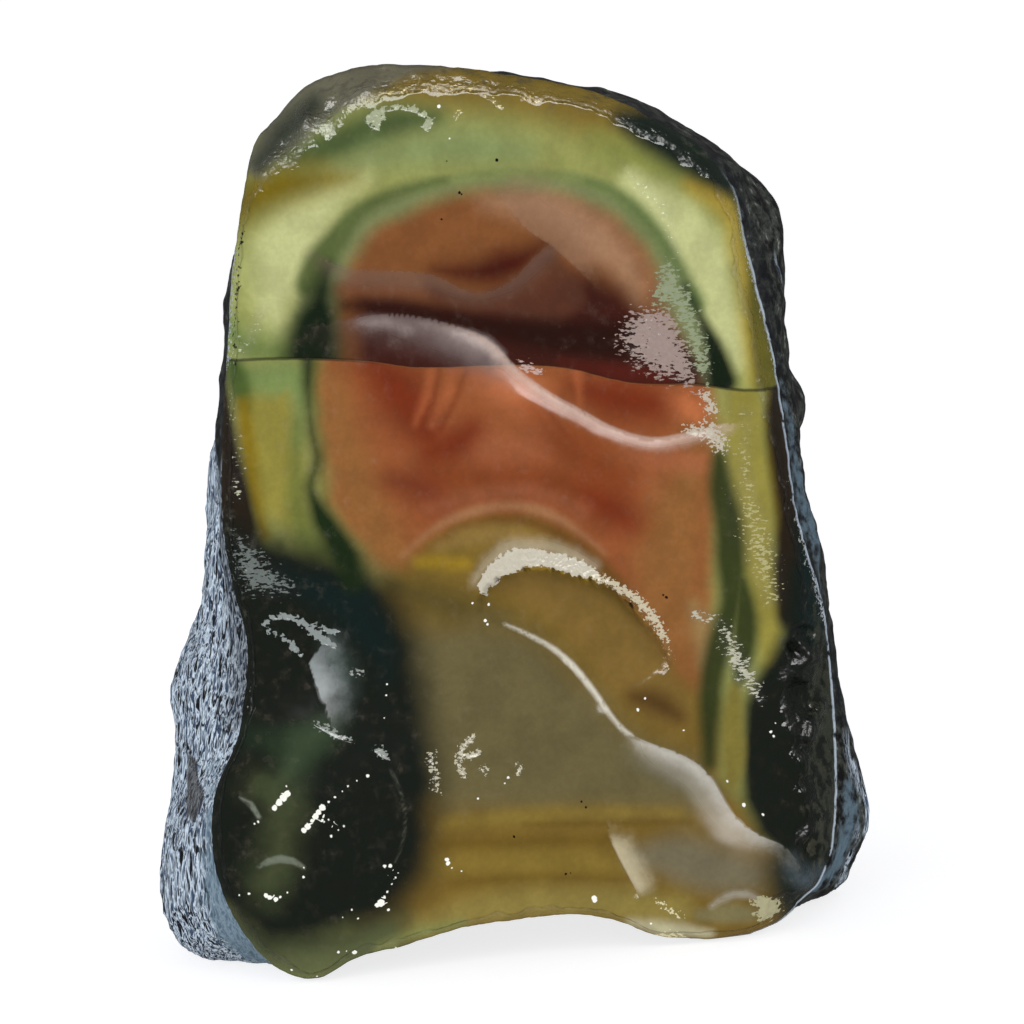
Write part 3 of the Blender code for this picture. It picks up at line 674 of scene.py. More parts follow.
              (-11, 37.6), (-9.8, 30), (-8.4, 21.6), (-9.4, 11.8), (-12.6, 7.4), (-19, 5), (-27.6, 3.4),
              (-32, 6.5), (-40, 8), soft=2.8),
        patch((31.4, 54), (30.8, 47), (30.2, 42), (29.6, 37.6), (28.2, 34.6), (26.4, 32.4), (25.3, 29.6),
              (25, 24), (25.2, 19.6), (27, 15.8), (31, 12.8), (31, -4), (45, -4), (45, 52), soft=1.2)]),
    ("teal", (24, 47, 46), UNDER, 0.95, [
        stroke((-26, 43.8, 0.8), (-20.6, 42, 2), (-16.2, 38.4, 2), (-14.4, 33.6, 1), soft=2),
        stroke((32.4, 50, 0.8), (33, 44, 1.4), (33.6, 38, 1.8), soft=1.2)]),
    ("toe_blue", (74, 86, 92), UNDER, 0.9, [
        stroke((30.6, 13, 0.6), (32, 10.8, 1.1), (33.6, 11, 0.7), soft=1.2)]),
    ("foot_green", (54, 68, 52), UNDER, 0.9, [
        stroke((-28.4, 26.4, 0.8), (-25, 25.4, 1.6), (-21.6, 26.4, 1.2), (-19.6, 28.6, 0.4), soft=2.2)]),
    ("foot_teal", (80, 94, 88), UNDER, 0.8, [
        stroke((-20.6, 35.6, 0.6), (-19.6, 33.4, 1.3), (-19, 30.8, 0.5), soft=2.2)]),
    ("foot_glow", (72, 86, 64), UNDER, 0.9, [
        stroke((-26.6, 21, 0.2), (-25, 22.6, 0.8), (-24, 25.4, 0.8), (-21.6, 26.8, 0.4), soft=3.2)]),
    ("foot_olive", (92, 100, 68), UNDER, 0.9, [
        stroke((-28.4, 21, 0.2), (-26.4, 19.6, 0.9), (-25.8, 16.4, 0.8), (-27.6, 10.4, 0.4), soft=4)]),
    ("olive_wall_foot", (132, 121, 62), UNDER, 1, [
        stroke((24.4, 31.4, 0.8), (24.1, 28, 1.2), (24.2, 24, 1.2), (24, 21.6, 0.9), soft=0.8)]),
    ("left_seam", (42, 54, 30), UNDER, 1, [
        stroke((-23, 68.4, 0.9), (-23, 64, 0.4), (-22.6, 60, 0.4), (-22, 56.8, 0.5), (-22.8, 54, 0.5),
               (-22, 51.4, 1.1), (-20.4, 48.6, 1.5), (-18.8, 45.8, 1.7), (-18.2, 43.6, 1.2), soft=1.1)]),
    ("right_seam", (56, 64, 39), UNDER, 0.95, [
        stroke((22.6, 57.2, 0.8), (22.8, 53.8, 1.4), (23.6, 50.4, 1.6), (23.9, 45.8, 1.7), (24, 41, 1.3),
               (23, 37.2, 1.5), (21.9, 33, 1.4), (21.6, 28.5, 1.2), (21.5, 23.6, 0.8), soft=1),
        stroke((25.2, 43.4, 0.7), (25.6, 39.6, 1.4), (25.4, 35.8, 1.3), (25, 32.8, 0.8), soft=0.9)]),
]
GROUND = (150, 153, 90)  # the walls between the stains

# Painted reflections on the break's steps and ridges; the crescent's cream is partly real: (name, colour,
# strength, stains)
PAINTED_REFLECTIONS = [
    ("milk_dome", (150, 108, 76), 0.62, [
        veil((9.4, 75.4, 0), (7, 77.8, 0.6), (4.2, 80.4, 1), (1.2, 82.5, 1), (-1.1, 85.3, 0.7),
             (-3.3, 87.5, 0), above=0.25, below=7)]),
    ("milk_window", (116, 84, 66), 0.38, [
        veil((-23.4, 80.5, 0.3), (-21.2, 79, 0.55), (-18.9, 77.8, 0.9), (-15.9, 77.5, 1), (-12.9, 77.4, 1),
             (-8.6, 76.8, 0.9), (-6.1, 75.5, 0.7), (-3.9, 75.1, 0.6), (-0.1, 76.6, 0.7), (2.1, 78.9, 0.9),
             (4, 80.6, 0.8), above=0.45, below=2.6)]),
    ("milk_mauve", (114, 91, 86), 0.72, [
        under("hinge", (0.3, 0.8, 1, 1, 0.4, 0, 0, 0, 0, 0, 0), above=0.25, below=5.6)]),
    ("milk_glow", (166, 150, 146), 0.5, [
        stroke((-17.4, 72.2, 0.1), (-15.6, 72.1, 0.5), (-13.6, 71.7, 0.4), (-11.6, 71, 0.1), soft=1),
        stroke((-6.4, 70.9, 0.3), (-3.6, 69.8, 0.7), (-1.8, 68.4, 0.6), soft=0.6)]),
    ("milk_hinge", (208, 178, 160), 0.55, [
        under("hinge", (0, 0, 0.3, 0.8, 0.9, 0.9, 0.9, 0.8, 0.9, 0.9, 0.8), above=0.4, below=1.9)]),
    ("milk_crescent", (186, 172, 142), 0.7, [
        stroke((-4.6, 43.4, 0.1), (-3.4, 45.2, 0.4), (-1, 47, 0.7), (2.6, 47.4, 0.6), (6, 46.4, 0.6),
               (8.8, 45.1, 0.3), soft=1.1)]),
    ("milk_ridge", (220, 214, 196), 0.9, [
        stroke((-1.3, 38.6, 0.08), (1.6, 37.3, 0.16), (4.2, 35.8, 0.24), (6.2, 34.1, 0.30),
               (8.2, 31.8, 0.26), (10.2, 29.1, 0.22), (11.9, 27.1, 0.20), (13, 26.4, 0.12), soft=0.3)]),
    ("milk_heel", (134, 130, 116), 0.42, [
        under("heel_crest", (0, 0, 0, 0, 0, 0, 0, 0.1, 0.6, 1, 1, 1, 0.9, 0.7, 0.6, 0.4, 0.2), above=0.2,
              below=4.6)]),
    ("milk_edge", (190, 187, 176), 0.55, [
        under("heel_crest", (0, 0, 0, 0, 0, 0, 0, 0.1, 0.6, 1, 1, 0.9, 0.7, 0.6, 0.6, 0.4, 0.1), above=0.15,
              below=1.8)]),
    ("milk_toe", (196, 184, 150), 0.9, [
        veil((10.4, 15.8, 0.2), (10.9, 14.6, 0.9), (11.6, 13.1, 1), (12.9, 10.8, 1), (13.7, 9.3, 0.8),
             (14, 8.6, 0), above=3.2, below=0.25)]),
    ("milk_pocket", (176, 172, 156), 0.7, [
        stroke((21.6, 8.2, 0.1), (23.2, 9.2, 0.35), (25, 9.6, 0.45), (26.8, 9, 0.2), soft=0.6)]),
    ("milk_foot", (118, 126, 106), 0.85, [
        stroke((-28.6, 12.4, 0.1), (-26.8, 13.4, 0.4), (-24.8, 13.4, 0.35), (-23.3, 12.6, 0.1), soft=0.25),
        stroke((-30.6, 19.9, 0.05), (-29.4, 19.3, 0.25), (-28.4, 17.9, 0.2), soft=0.25)]),
    ("milk_ring", (84, 88, 68), 0.6, [
        stroke((-13.8, 22.8, 0.1), (-12.8, 20.8, 0.1), (-12.2, 17.4, 0.1), (-12.6, 14.8, 0.1),
               (-13.4, 12.8, 0.05), soft=0.25)]),
    ("milk_chip", (152, 160, 160), 0.85, [
        veil((-21.4, 29.9, 0.5), (-21.9, 31.3, 1), (-22.5, 32.9, 1), (-22.9, 34.6, 0.9), (-22.2, 35.4, 0.6),
             above=0.2, below=4.4)]),
]

# Crumbled skin, real in its relief, whose pale flecks are painted glints and reflections of the lamps; the
# dark nicks are real: (name, colour, how dense, kind of crumb, stains)
CRUMB, SCALE, CRUST = "crumb", "scale", "crust"
CRUMB_GRAINS = {CRUMB: (0.34, 1.3), SCALE: (0.30, 2.4), CRUST: (0.60, 1.0)}  # (size, stretch along a)
FLAKES_AND_GLINTS = [
    ("right_scales", (164, 144, 136), 0.67, SCALE, [
        patch((14.7, 73.3), (12.8, 72.5), (11.7, 70.3), (13.2, 68), (15.8, 66.5), (18.3, 65.4), (20, 65.2),
              (19.4, 67.5), (18.4, 70.5), (17.2, 73.4), soft=1.2)]),
    ("green_scales", (146, 156, 124), 0.56, SCALE, [
        patch((16.6, 79.1), (14.9, 75.5), (14.9, 73.3), (17.2, 73.4), (18.6, 70), (19.8, 66), (21.3, 65),
              (22, 67.3), (21.1, 70.8), (19.6, 74.6), (17.9, 78.5), soft=0.9)]),
    ("hinge_bits", (196, 168, 160), 0.68, SCALE, [
        stroke((0.2, 67.4, 0.1), (1.6, 66.8, 0.4), (2.8, 66.6, 0.2), soft=0.4)]),
    ("crescent", (206, 199, 181), 0.63, CRUST, [
        patch((-4.4, 43), (-3.4, 44.9), (-1.8, 46.4), (-0.1, 47.2), (2.6, 47.1), (4.9, 46.7), (7.6, 45.7),
              (9.2, 44.7), (9.5, 43.7), (6.9, 44), (4.9, 44.6), (2.9, 45.1), (1.2, 44.9), (-0.1, 44.3),
              (-1.3, 44.2), (-1.9, 43), (-3.1, 42.4), (-3.3, 41.2), (-3.9, 42.2), soft=0.22)]),
    ("crescent_trail", (206, 196, 168), 0.64, CRUMB, [
        stroke((8.8, 44.2, 0.4), (10.6, 43.2, 0.5), (12.9, 41.9, 0.55), (14.6, 40.2, 0.6), (15.9, 38.5, 0.5),
               (16.8, 36.7, 0.3), soft=0.34)]),
    ("trail_end", (200, 170, 110), 0.5, CRUMB, [
        stroke((16.4, 37, 0.3), (17.2, 35.2, 0.4), (16.4, 33.4, 0.3), soft=0.5)]),
    ("shoulder_scales", (132, 138, 126), 0.44, CRUMB, [
        stroke((-28.6, 88.9, 0.5), (-27.1, 90.2, 0.7), (-23.9, 92.4, 0.8), (-21.6, 94.1, 0.8),
               (-19.2, 95.7, 0.8), (-17.1, 96.3, 0.6), (-15, 96.7, 0.4), soft=0.8)]),
    ("shoulder_chips", (166, 172, 140), 0.66, CRUST, [
        patch((-16.9, 94.4), (-16.1, 95.5), (-14.5, 95.9), (-12.9, 96.2), (-10.8, 95.8), (-9, 94.6),
              (-9.6, 93.2), (-10.6, 93.6), (-9.9, 94.6), (-11.1, 95.3), (-12.9, 95.7), (-14.2, 95.4),
              (-14.7, 94.6), (-15.1, 93.3), (-16.1, 93.7), soft=0.3),
        patch((-22, 94), (-20.1, 94.1), (-20.3, 93.3), (-20.4, 92.3), (-21, 92.3), (-21.4, 92.9),
              soft=0.3)]),
    ("gold_sparks", (226, 206, 138), 0.54, CRUMB, [
        stroke((-15, 97.2, 0.2), (-12.4, 97.6, 0.3), (-9, 98, 0.2), (-7.2, 97.6, 0.4), (-5.6, 97.9, 0.3),
               (-4.3, 97.6, 0.2), (-2.4, 96.6, 0.3), (-1.6, 95.9, 0.3), soft=0.4),
        stroke((0.6, 96.9, 0.3), (2.5, 96.4, 0.3), soft=0.4),
        stroke((-6.8, 94.5, 0.2), (-6.4, 95.4, 0.3), (-6, 95.5, 0.2), soft=0.3)]),
    ("left_fur", (112, 120, 116), 0.47, SCALE, [
        patch((-32, 49.5), (-29.5, 48.6), (-27.2, 46), (-24.2, 43.5), (-23.7, 41.6), (-27, 41.3),
              (-30.4, 41.8), (-31.8, 44.5), soft=1)]),
    ("chip_arcs", (146, 154, 152), 0.75, CRUST, [
        stroke((-28.3, 38.6, 0.05), (-26.8, 39.4, 0.2), (-25.1, 39.4, 0.25), (-23.4, 38.4, 0.3),
               (-21.4, 36.8, 0.4), (-20.1, 36.1, 0.2), soft=0.22),
        stroke((-27.8, 38.1, 0.05), (-25.8, 37.1, 0.2), (-24.4, 35.8, 0.25), (-23.9, 35.1, 0.05), soft=0.22),
        stroke((-22.1, 38.4, 0.1), (-20.8, 37.8, 0.25), (-19.6, 37.8, 0.1), soft=0.22)]),
    ("chip_crumbs", (150, 156, 150), 0.7, CRUMB, [
        stroke((-22.2, 27.8, 0.1), (-21.4, 27.5, 0.25), (-19.8, 26.6, 0.2), (-18.2, 26, 0.1), soft=0.3),
        stroke((-15.6, 25.1, 0.1), (-15, 24.9, 0.4), (-14.2, 24.2, 0.1), soft=0.3),
        stroke((-18.4, 33.2, 0.1), (-17.1, 33.3, 0.2), soft=0.3)]),
    ("margin_flecks", (190, 192, 166), 0.42, SCALE, [
        stroke((-31.8, 72.6, 0.6), (-31.2, 68.4, 1), (-29.4, 70.4, 0.9), (-28, 74, 0.5), soft=1),
        stroke((-31.4, 64, 0.6), (-30.9, 58, 0.8), (-30.8, 53, 0.9), soft=1)]),
    ("right_diagonal", (192, 190, 170), 0.50, SCALE, [
        stroke((20.2, 39.6, 0.7), (22.9, 38.6, 0.8), (24.2, 35.6, 1.4), (25.8, 32.6, 1.3), (27.3, 30.6, 0.6),
               soft=0.9)]),
    ("column_flecks", (182, 176, 124), 0.46, SCALE, [
        stroke((23.4, 65, 0.3), (23.6, 60, 0.4), (23.8, 54, 0.4), (24.4, 48, 0.4), soft=1.6),
        stroke((25.6, 62, 0.8), (25.4, 56, 1), (26, 51, 1.8), (27.6, 46, 2.2), (28.6, 42, 1.4), soft=1.4)]),
    ("hinge_end", (196, 186, 168), 0.70, CRUMB, [
        stroke((21.1, 64, 0.3), (21.8, 62.4, 0.5), soft=0.5),
        stroke((19.4, 60, 0.3), (21.8, 60, 0.7), (22.8, 58.6, 0.6), soft=0.6)]),
    ("wall_sparks", (222, 228, 192), 0.42, CRUMB, [
        stroke((12, 89.4, 0.4), (14.5, 86.6, 0.8), (16.6, 83.6, 0.8), (17.9, 79.8, 0.5), soft=1)]),
    ("heel_sparks", (200, 194, 170), 0.68, CRUMB, [
        stroke((-4.8, 26.4, 0.15), (-5.9, 25.4, 0.3), (-6.4, 23.9, 0.3), (-5.6, 22.1, 0.1), soft=0.35),
        stroke((-5.2, 24.4, 0.3), (-4.1, 24.7, 0.2), soft=0.3),
        stroke((-3.7, 23.2, 0.2), (-3.3, 22.6, 0.2), soft=0.35),
        stroke((0.3, 23.8, 0.1), (0.4, 22.6, 0.2), soft=0.35),
        stroke((-9.4, 24.4, 0.2), (-8.8, 21, 0.2), soft=0.5)]),
    ("toe_crumbs", (176, 172, 136), 0.68, CRUST, [
        patch((26.2, 8.8), (27.6, 9.2), (29.2, 8.8), (29.5, 7.4), (28.6, 6.6), (26.8, 6.7), soft=0.5)]),
    ("sole_sparks", (222, 214, 172), 0.62, CRUMB, [
        stroke((15.6, 8.9, 0.15), (16.9, 7.6, 0.3), (18.2, 7.1, 0.3), soft=0.35),
        stroke((15.8, 4.7, 0.3), (18.8, 4.6, 0.3), soft=0.4)]),
    ("rim_specks", (146, 150, 142), 0.56, CRUST, [
        stroke((26.2, 88, 0.5), (27.6, 84, 0.8), (28.8, 79, 0.5), (29.6, 73, 0.3), soft=0.9),
        stroke((31.4, 55, 0.6), (32.2, 51, 1), (32.6, 46, 0.6), soft=0.9)]),
    ("rim_chips", (168, 174, 180), 0.58, CRUMB, [
        stroke((-31, 82.6, 0.2), (-31.4, 78, 0.3), (-31.8, 72, 0.3), (-32.2, 67, 0.3), soft=0.35),
        stroke((24.2, 86.4, 0.1), (25.2, 82, 0.2), (26.4, 77, 0.2), (27.9, 71.6, 0.2), (29, 66.6, 0.2),
               soft=0.35),
        stroke((31.4, 50.4, 0.2), (33.2, 44.4, 0.3), (34.6, 38.4, 0.3), soft=0.35)]),
    ("rim_nicks", (22, 24, 24), 0.52, CRUST, [
        stroke((-30.2, 84, 0.2), (-30.6, 79, 0.3), (-31, 73, 0.3), (-31.2, 67.6, 0.3), soft=0.4)]),
]

# Sparks of the lamps in the wet foot, as round beads: (a, b, radius)
SPARKS = [
    (-26.7, 18.9, 0.30), (-26.2, 19.5, 0.38), (-25.7, 20, 0.42), (-25.3, 20.4, 0.36), (-25.4, 21.2, 0.10),
    (-23.4, 16.6, 0.30), (-23, 17, 0.34), (-22.5, 17.6, 0.20), (-22.1, 18.1, 0.34), (-21.8, 18.5, 0.32),
    (-21.4, 19, 0.36), (-20.7, 19.6, 0.12), (-20, 20.1, 0.14), (-19.2, 20.7, 0.08), (-18.6, 21.2, 0.12),
    (-17.6, 21.8, 0.08), (-16.4, 22.3, 0.18), (-21.2, 17.5, 0.14), (-20.7, 17.7, 0.12), (-20.4, 16, 0.16),
    (-19.6, 16.6, 0.12), (-19, 17, 0.14), (-28.5, 17.4, 0.14), (-28.9, 17.2, 0.10), (-30.6, 9.4, 0.08),
    (-29.5, 9.6, 0.14), (-27.6, 9.5, 0.26), (-27.2, 9.3, 0.28), (-26.5, 9.1, 0.26), (-26, 9.4, 0.14),
    (-25.2, 9.9, 0.10), (-23.4, 11.6, 0.16), (-23.4, 12.6, 0.12), (-14.5, 12.6, 0.20), (-13.9, 12.6, 0.22),
    (-13.3, 11.3, 0.12), (-13.7, 10.6, 0.10), (-14.2, 9.8, 0.14), (-14.5, 9.2, 0.18), (-14.9, 8.6, 0.42),
    (-15.3, 8.4, 0.26), (-14.1, 7.8, 0.16), (-13, 11.8, 0.08), (-18.1, 8, 0.12), (-19.1, 7.2, 0.10),
    (-17.4, 7, 0.12), (-19.6, 3.3, 0.14), (-18.7, 3.4, 0.10), (-17.8, 3.2, 0.28), (-13.3, 3.3, 0.12),
    (-24.8, 1.1, 0.14), (-22, 0.4, 0.10), (-7.6, 13.1, 0.24), (-7.5, 12.7, 0.26), (-7.1, 12.2, 0.12),
    (-6, 11.8, 0.08), (8.7, 8.7, 0.30), (8.8, 8.5, 0.28), (13.6, 29.2, 0.18), (14.4, 30.4, 0.14),
    (25.3, 19.1, 0.22), (27.4, 18.1, 0.14), (28.4, 26.9, 0.16), (28.7, 26.4, 0.18), (28.9, 27.8, 0.08),
    (-3.4, 39, 0.18), (-3.1, 38.6, 0.14), (-8.5, 95.9, 0.20), (-7.3, 92.4, 0.14), (18.7, 27, 0.10),
    (23.5, 21.6, 0.14), (15, 6, 0.12), (-14.3, 32, 0.10), (-14.4, 30.8, 0.12), (-14.6, 28.4, 0.10),
    (-4.8, 41, 0.12), (-3, 40.8, 0.16), (-0.8, 22, 0.16), (-1.2, 21.4, 0.14), (-4.2, 19.8, 0.12),
]

# Black grains in the break: (a, b, radius)
GRAINS = [
    (-2.1, 90, 0.20), (-6.2, 86.4, 0.18), (-6, 86.2, 0.12), (16.4, 41.9, 0.14), (16.8, 41.6, 0.18),
    (7.3, 19.4, 0.14), (7.8, 18.8, 0.12), (-0.2, 15.6, 0.18), (5.6, 11.4, 0.14), (6.1, 11.5, 0.10),
    (-8.2, 83.4, 0.10), (-7.6, 89.9, 0.10),
]
SPOT_REACH = 1.0  # a spot is drawn from its own middle this far out
SPOT_LAYERS = 3  # spots that lie close together are kept apart in these
NO_SPOT = (9.0, 9.0, -9.0)  # offset and radius where none is near


SHEEN, BRIGHTER = 0.015, 1.03  # light that the gloss adds to every colour, which the colours make room for


def card(red, green, blue):
    """A colour read from 0 to 255 as a colour card gives it, as the light it reflects under its gloss."""
    shares = [channel / 255 for channel in (red, green, blue)]
    light = [s / 12.92 if s < 0.04045 else ((s + 0.055) / 1.055) ** 2.4 for s in shares]
    return tuple(max(BRIGHTER * (part - SHEEN), 0.4 * part) for part in light) + (1.0,)


def deepest(stains):
    """How deep each point of the surface lies inside the nearest of these stains."""
    return np.clip(np.max([stain(across, up) for stain in stains], axis=0), -4.0, 4.0)


def store(name, vectors):
    """Keeps three numbers for each point of the stone's surface, for its finish to read."""
    layer = stone_mesh.attributes.new(name, "FLOAT_VECTOR", "POINT")
    layer.data.foreach_set("vector", np.asarray(vectors, np.float32).ravel())


across, deep, up = places.T
masks = {layer[0]: deepest(layer[-1]) for layer in STAINS}
masks["over_crack"] = line_distance(smooth_line(CRACK), across, up)[0]
masks |= {layer[0]: deepest(layer[-1]) for layer in PAINTED_REFLECTIONS + FLAKES_AND_GLINTS}


def past_edge():
    """Distance from the edge of the break over the rind, negative on the break itself."""
    distances = []
    for index, ring in enumerate(rings):
        if index <= FACE_RINGS:
            distances.append((index / FACE_RINGS - 1.0) * edge_radius(turns_of(len(ring))))
        elif len(ring) == len(rings[index - 1]):
            distances.append(distances[-1] + np.linalg.norm(ring - rings[index - 1], axis=1))
        else:
            distances.append(np.full(len(ring), distances[-1].mean()))
    return np.concatenate(distances)


# Where any painted reflection lies, for the higher roughness under it
masks["painted_reflection"] = np.max([masks[layer[0]] for layer in PAINTED_REFLECTIONS], axis=0)
masks["flaky"] = np.max([masks[layer[0]] for layer in FLAKES_AND_GLINTS], axis=0)
masks["lumpy"] = deepest(LUMPY)
face = np.concatenate(into_rounding[:FACE_RINGS + 1])
masks["bevel"] = np.concatenate([face, np.ones(len(places) - len(face))])
masks["rind"] = np.clip(past_edge(), -8.0, 40.0)
masks["fibres"] = fibre_share(places)
# Where the rind is smooth and painted bluish with light reflected from the floor and air, and where it is
# brown
SMOOTH_SHEENED_RIND = [
    stroke((-33.4, 22.4, 0.4), (-34.2, 16, 0.3), (-33.6, 10.8, 1.4), (-31.8, 5.4, 2.2), (-28.6, 1.6, 2.6),
           soft=0.8),
    stroke((34, 9, 1), (37, 10.6, 1.6), (38.2, 14, 1.4), (38, 19, 0.8), soft=1),
    stroke((30.8, 67, 0.8), (32, 61, 1.2), (32, 56, 1), (32.6, 51, 0.8), (34.8, 44.8, 0.5), (36.4, 38, 0.3),
           soft=1),
    stroke((24.8, 88, 0.3), (27.4, 83, 0.5), (29, 77, 0.3), (30, 71, 0.2), soft=1),
]
BROWN_RIND = [stroke((-36.6, 22.6, 0.4), (-35.8, 19.6, 0.9), (-36.2, 16.6, 0.5), soft=0.4)]
SMOOTH_DEPTH = 9.0  # the smooth skin ends this far behind the plane of the break
masks["smooth"] = np.minimum(deepest(SMOOTH_SHEENED_RIND), SMOOTH_DEPTH - deep)
masks["brown_rind"] = deepest(BROWN_RIND)


def store_spots(name, spots):
    """Keeps the offset from the nearest spot, and that spot's radius, at each point near one."""
    for layer in range(SPOT_LAYERS):
        kept = np.tile(NO_SPOT, (len(places), 1))
        nearest = np.full(len(places), SPOT_REACH)
        for a, b, radius in spots[layer::SPOT_LAYERS]:
            distance = np.hypot(across - a, up - b)
            near = distance < nearest
            kept[near] = np.stack([across - a, up - b, np.full(len(places), radius)], axis=1)[near]
            nearest[near] = distance[near]
        store(f"{name} {layer}", kept)


store_spots("sparks", SPARKS)
store_spots("grains", GRAINS)

# The masks are kept three to an attribute: each one's name gives its attribute and which of its numbers
MASK_AT = {name: (f"masks {index // 3}", index % 3) for index, name in enumerate(masks)}
for kept in sorted({attribute for attribute, _ in MASK_AT.values()}):
    trio = [masks[name] for name, (attribute, _) in MASK_AT.items() if attribute == kept]
    store(kept, np.stack((trio + trio[:1] * 2)[:3], axis=1))
store("place", places)


class Wiring:
    """Adds nodes to one tree. An input may be a number, a colour or another node's socket."""

    def __init__(self, tree):
        self.tree = tree
        self.opened = {}

    def add(self, kind, inputs, **settings):
        node = self.tree.nodes.new(kind)
        for name, value in settings.items():
            setattr(node, name, value)
        for key, value in inputs.items():
            if isinstance(value, bpy.types.NodeSocket):
                self.tree.links.new(value, node.inputs[key])
            else:
                node.inputs[key].default_value = value
        return node

    def read(self, mask):
        kept, index = MASK_AT[mask]
        if kept not in self.opened:
            vector = self.add("ShaderNodeAttribute", {}, attribute_name=kept).outputs["Vector"]
            self.opened[kept] = self.add("ShaderNodeSeparateXYZ", {0: vector}).outputs
        return self.opened[kept][index]

    def spots(self, name, ragged):
        """How far inside the nearest spot of this name a point lies, in millimetres."""
        inside = ragged
        for layer in range(SPOT_LAYERS):
            vector = self.add("ShaderNodeAttribute", {}, attribute_name=f"{name} {layer}").outputs["Vector"]
            radius = self.add("ShaderNodeSeparateXYZ", {0: vector}).outputs["Z"]
            flat = self.add("ShaderNodeVectorMath", {0: vector, 1: (1.0, 1.0, 0.0)}, operation="MULTIPLY")
            away = self.add("ShaderNodeVectorMath", {0: flat.outputs[0]}, operation="LENGTH").outputs["Value"]
            own = self.math("SUBTRACT", radius, away)
            inside = own if layer == 0 else self.math("MAXIMUM", inside, own)
        return self.math("ADD", inside, ragged)

    def place(self):
        return self.add("ShaderNodeAttribute", {}, attribute_name="place").outputs["Vector"]

    def along(self, place, axis):
        return self.add("ShaderNodeSeparateXYZ", {0: place}).outputs[axis]

    def math(self, operation, first, second=0.0, third=0.0):
        inputs = {0: first, 1: second, 2: third}
        return self.add("ShaderNodeMath", inputs, operation=operation).outputs[0]

    def fade(self, value, low, high, out_low=0.0, out_high=1.0):
        inputs = {"Value": value, "From Min": low, "From Max": high, "To Min": out_low, "To Max": out_high}
        settings = dict(interpolation_type="SMOOTHSTEP", clamp=True)
        return self.add("ShaderNodeMapRange", inputs, **settings).outputs["Result"]

    def centred(self, noise, spread):
        """A noise, which is 0.5 in the middle, as one that is 0 there and spread wide in all."""
        return self.math("MULTIPLY_ADD", noise, spread, -0.5 * spread)

    def mix(self, factor, under, over):
        inputs = {0: factor, 6: under, 7: over}
        return self.add("ShaderNodeMix", inputs, data_type="RGBA").outputs[2]

    def grain(self, place, size, detail=2.0, stretch=(1.0, 1.0, 1.0), rough=0.5, twist=0.0):
        """Soft noise of this size in millimetres, drawn out along the axes a, y and b by stretch."""
        scale = tuple(1.0 / (size * s) for s in stretch)
        scaled = self.add("ShaderNodeMapping", {"Vector": place, "Scale": scale}).outputs[0]
        inputs = {"Vector": scaled, "Scale": 1.0, "Detail": detail, "Roughness": rough, "Distortion": twist}
        return self.add("ShaderNodeTexNoise", inputs).outputs["Fac"]


def group(name, given, outputs):
    """A node group with these inputs and outputs, each (name, kind): its wiring, its inputs' sockets, and
    a function that joins up its outputs."""
    tree = bpy.data.node_groups.new(name, "ShaderNodeTree")
    for way, sockets in (("INPUT", given), ("OUTPUT", outputs)):
        for socket, kind in sockets:
            tree.interface.new_socket(socket, in_out=way, socket_type="NodeSocket" + kind)
    start, end = tree.nodes.new("NodeGroupInput"), tree.nodes.new("NodeGroupOutput")

    def join(**sockets):
        for output, socket in sockets.items():
            tree.links.new(socket, end.inputs[output])
        return tree

    return Wiring(tree), start.outputs, join


CRACK_COLOUR, CLOUD_COLOUR = (26, 30, 20), (40, 36, 22)
CRACK_BLUR = 0.12  # half the width over which the bands change at the crack
CRACK_OPEN = (12.0, 22.0)  # the crack gapes past this distance from the middle


def banding_group():
    """The bands' colour over the break. Every stain's edge wanders a little with the same slow noise."""
    wiring, _, join = group("jasper banding", [], [("Colour", "Color")])
    place = wiring.place()
    slow = wiring.grain(place, 3.5, detail=3.0)
    wander = wiring.centred(slow, 0.7)
    crack = wiring.math("ADD", wiring.read("over_crack"), wiring.centred(wiring.grain(place, 1.5), 0.16))
    over = wiring.fade(crack, -CRACK_BLUR, CRACK_BLUR)
    side = {OVER: over, UNDER: wiring.math("SUBTRACT", 1.0, over)}
    colour = card(*GROUND)
    for name, shade, clip, strength, _ in STAINS:
        factor = wiring.fade(wiring.math("ADD", wiring.read(name), wander), -1.0, 1.0, 0.0, strength)
        colour = wiring.mix(wiring.math("MULTIPLY", factor, side[clip]), colour, card(*shade))
    from_middle = wiring.math("ABSOLUTE", wiring.along(place, "X"))
    line = wiring.fade(wiring.math("ABSOLUTE", crack), 0.28, 0.06)
    line = wiring.math("MULTIPLY", line, wiring.fade(from_middle, *CRACK_OPEN, 0.1, 0.7))
    colour = wiring.mix(line, colour, card(*CRACK_COLOUR))
    clouds = wiring.fade(slow, 0.62, 0.36, 0.0, 0.14)
    return join(Colour=wiring.mix(clouds, colour, card(*CLOUD_COLOUR)))


LUMP_COLOUR, GAP_COLOUR = (72, 74, 64), (36, 32, 22)  # of the lumpy margins, and between the crumbs
GRAIN_COLOUR, SPARK_COLOUR = (26, 20, 14), (250, 250, 240)
RIM_RIGHT = (22.0, 28.0)  # the edge of the break is worn pale from here to the right
RIM_ON_BREAK, RIM_ON_RIND = (176, 188, 200), (188, 200, 212)
FLAKE_SPREAD = 0.75  # how far the density of a patch of flakes lowers what its noise must pass


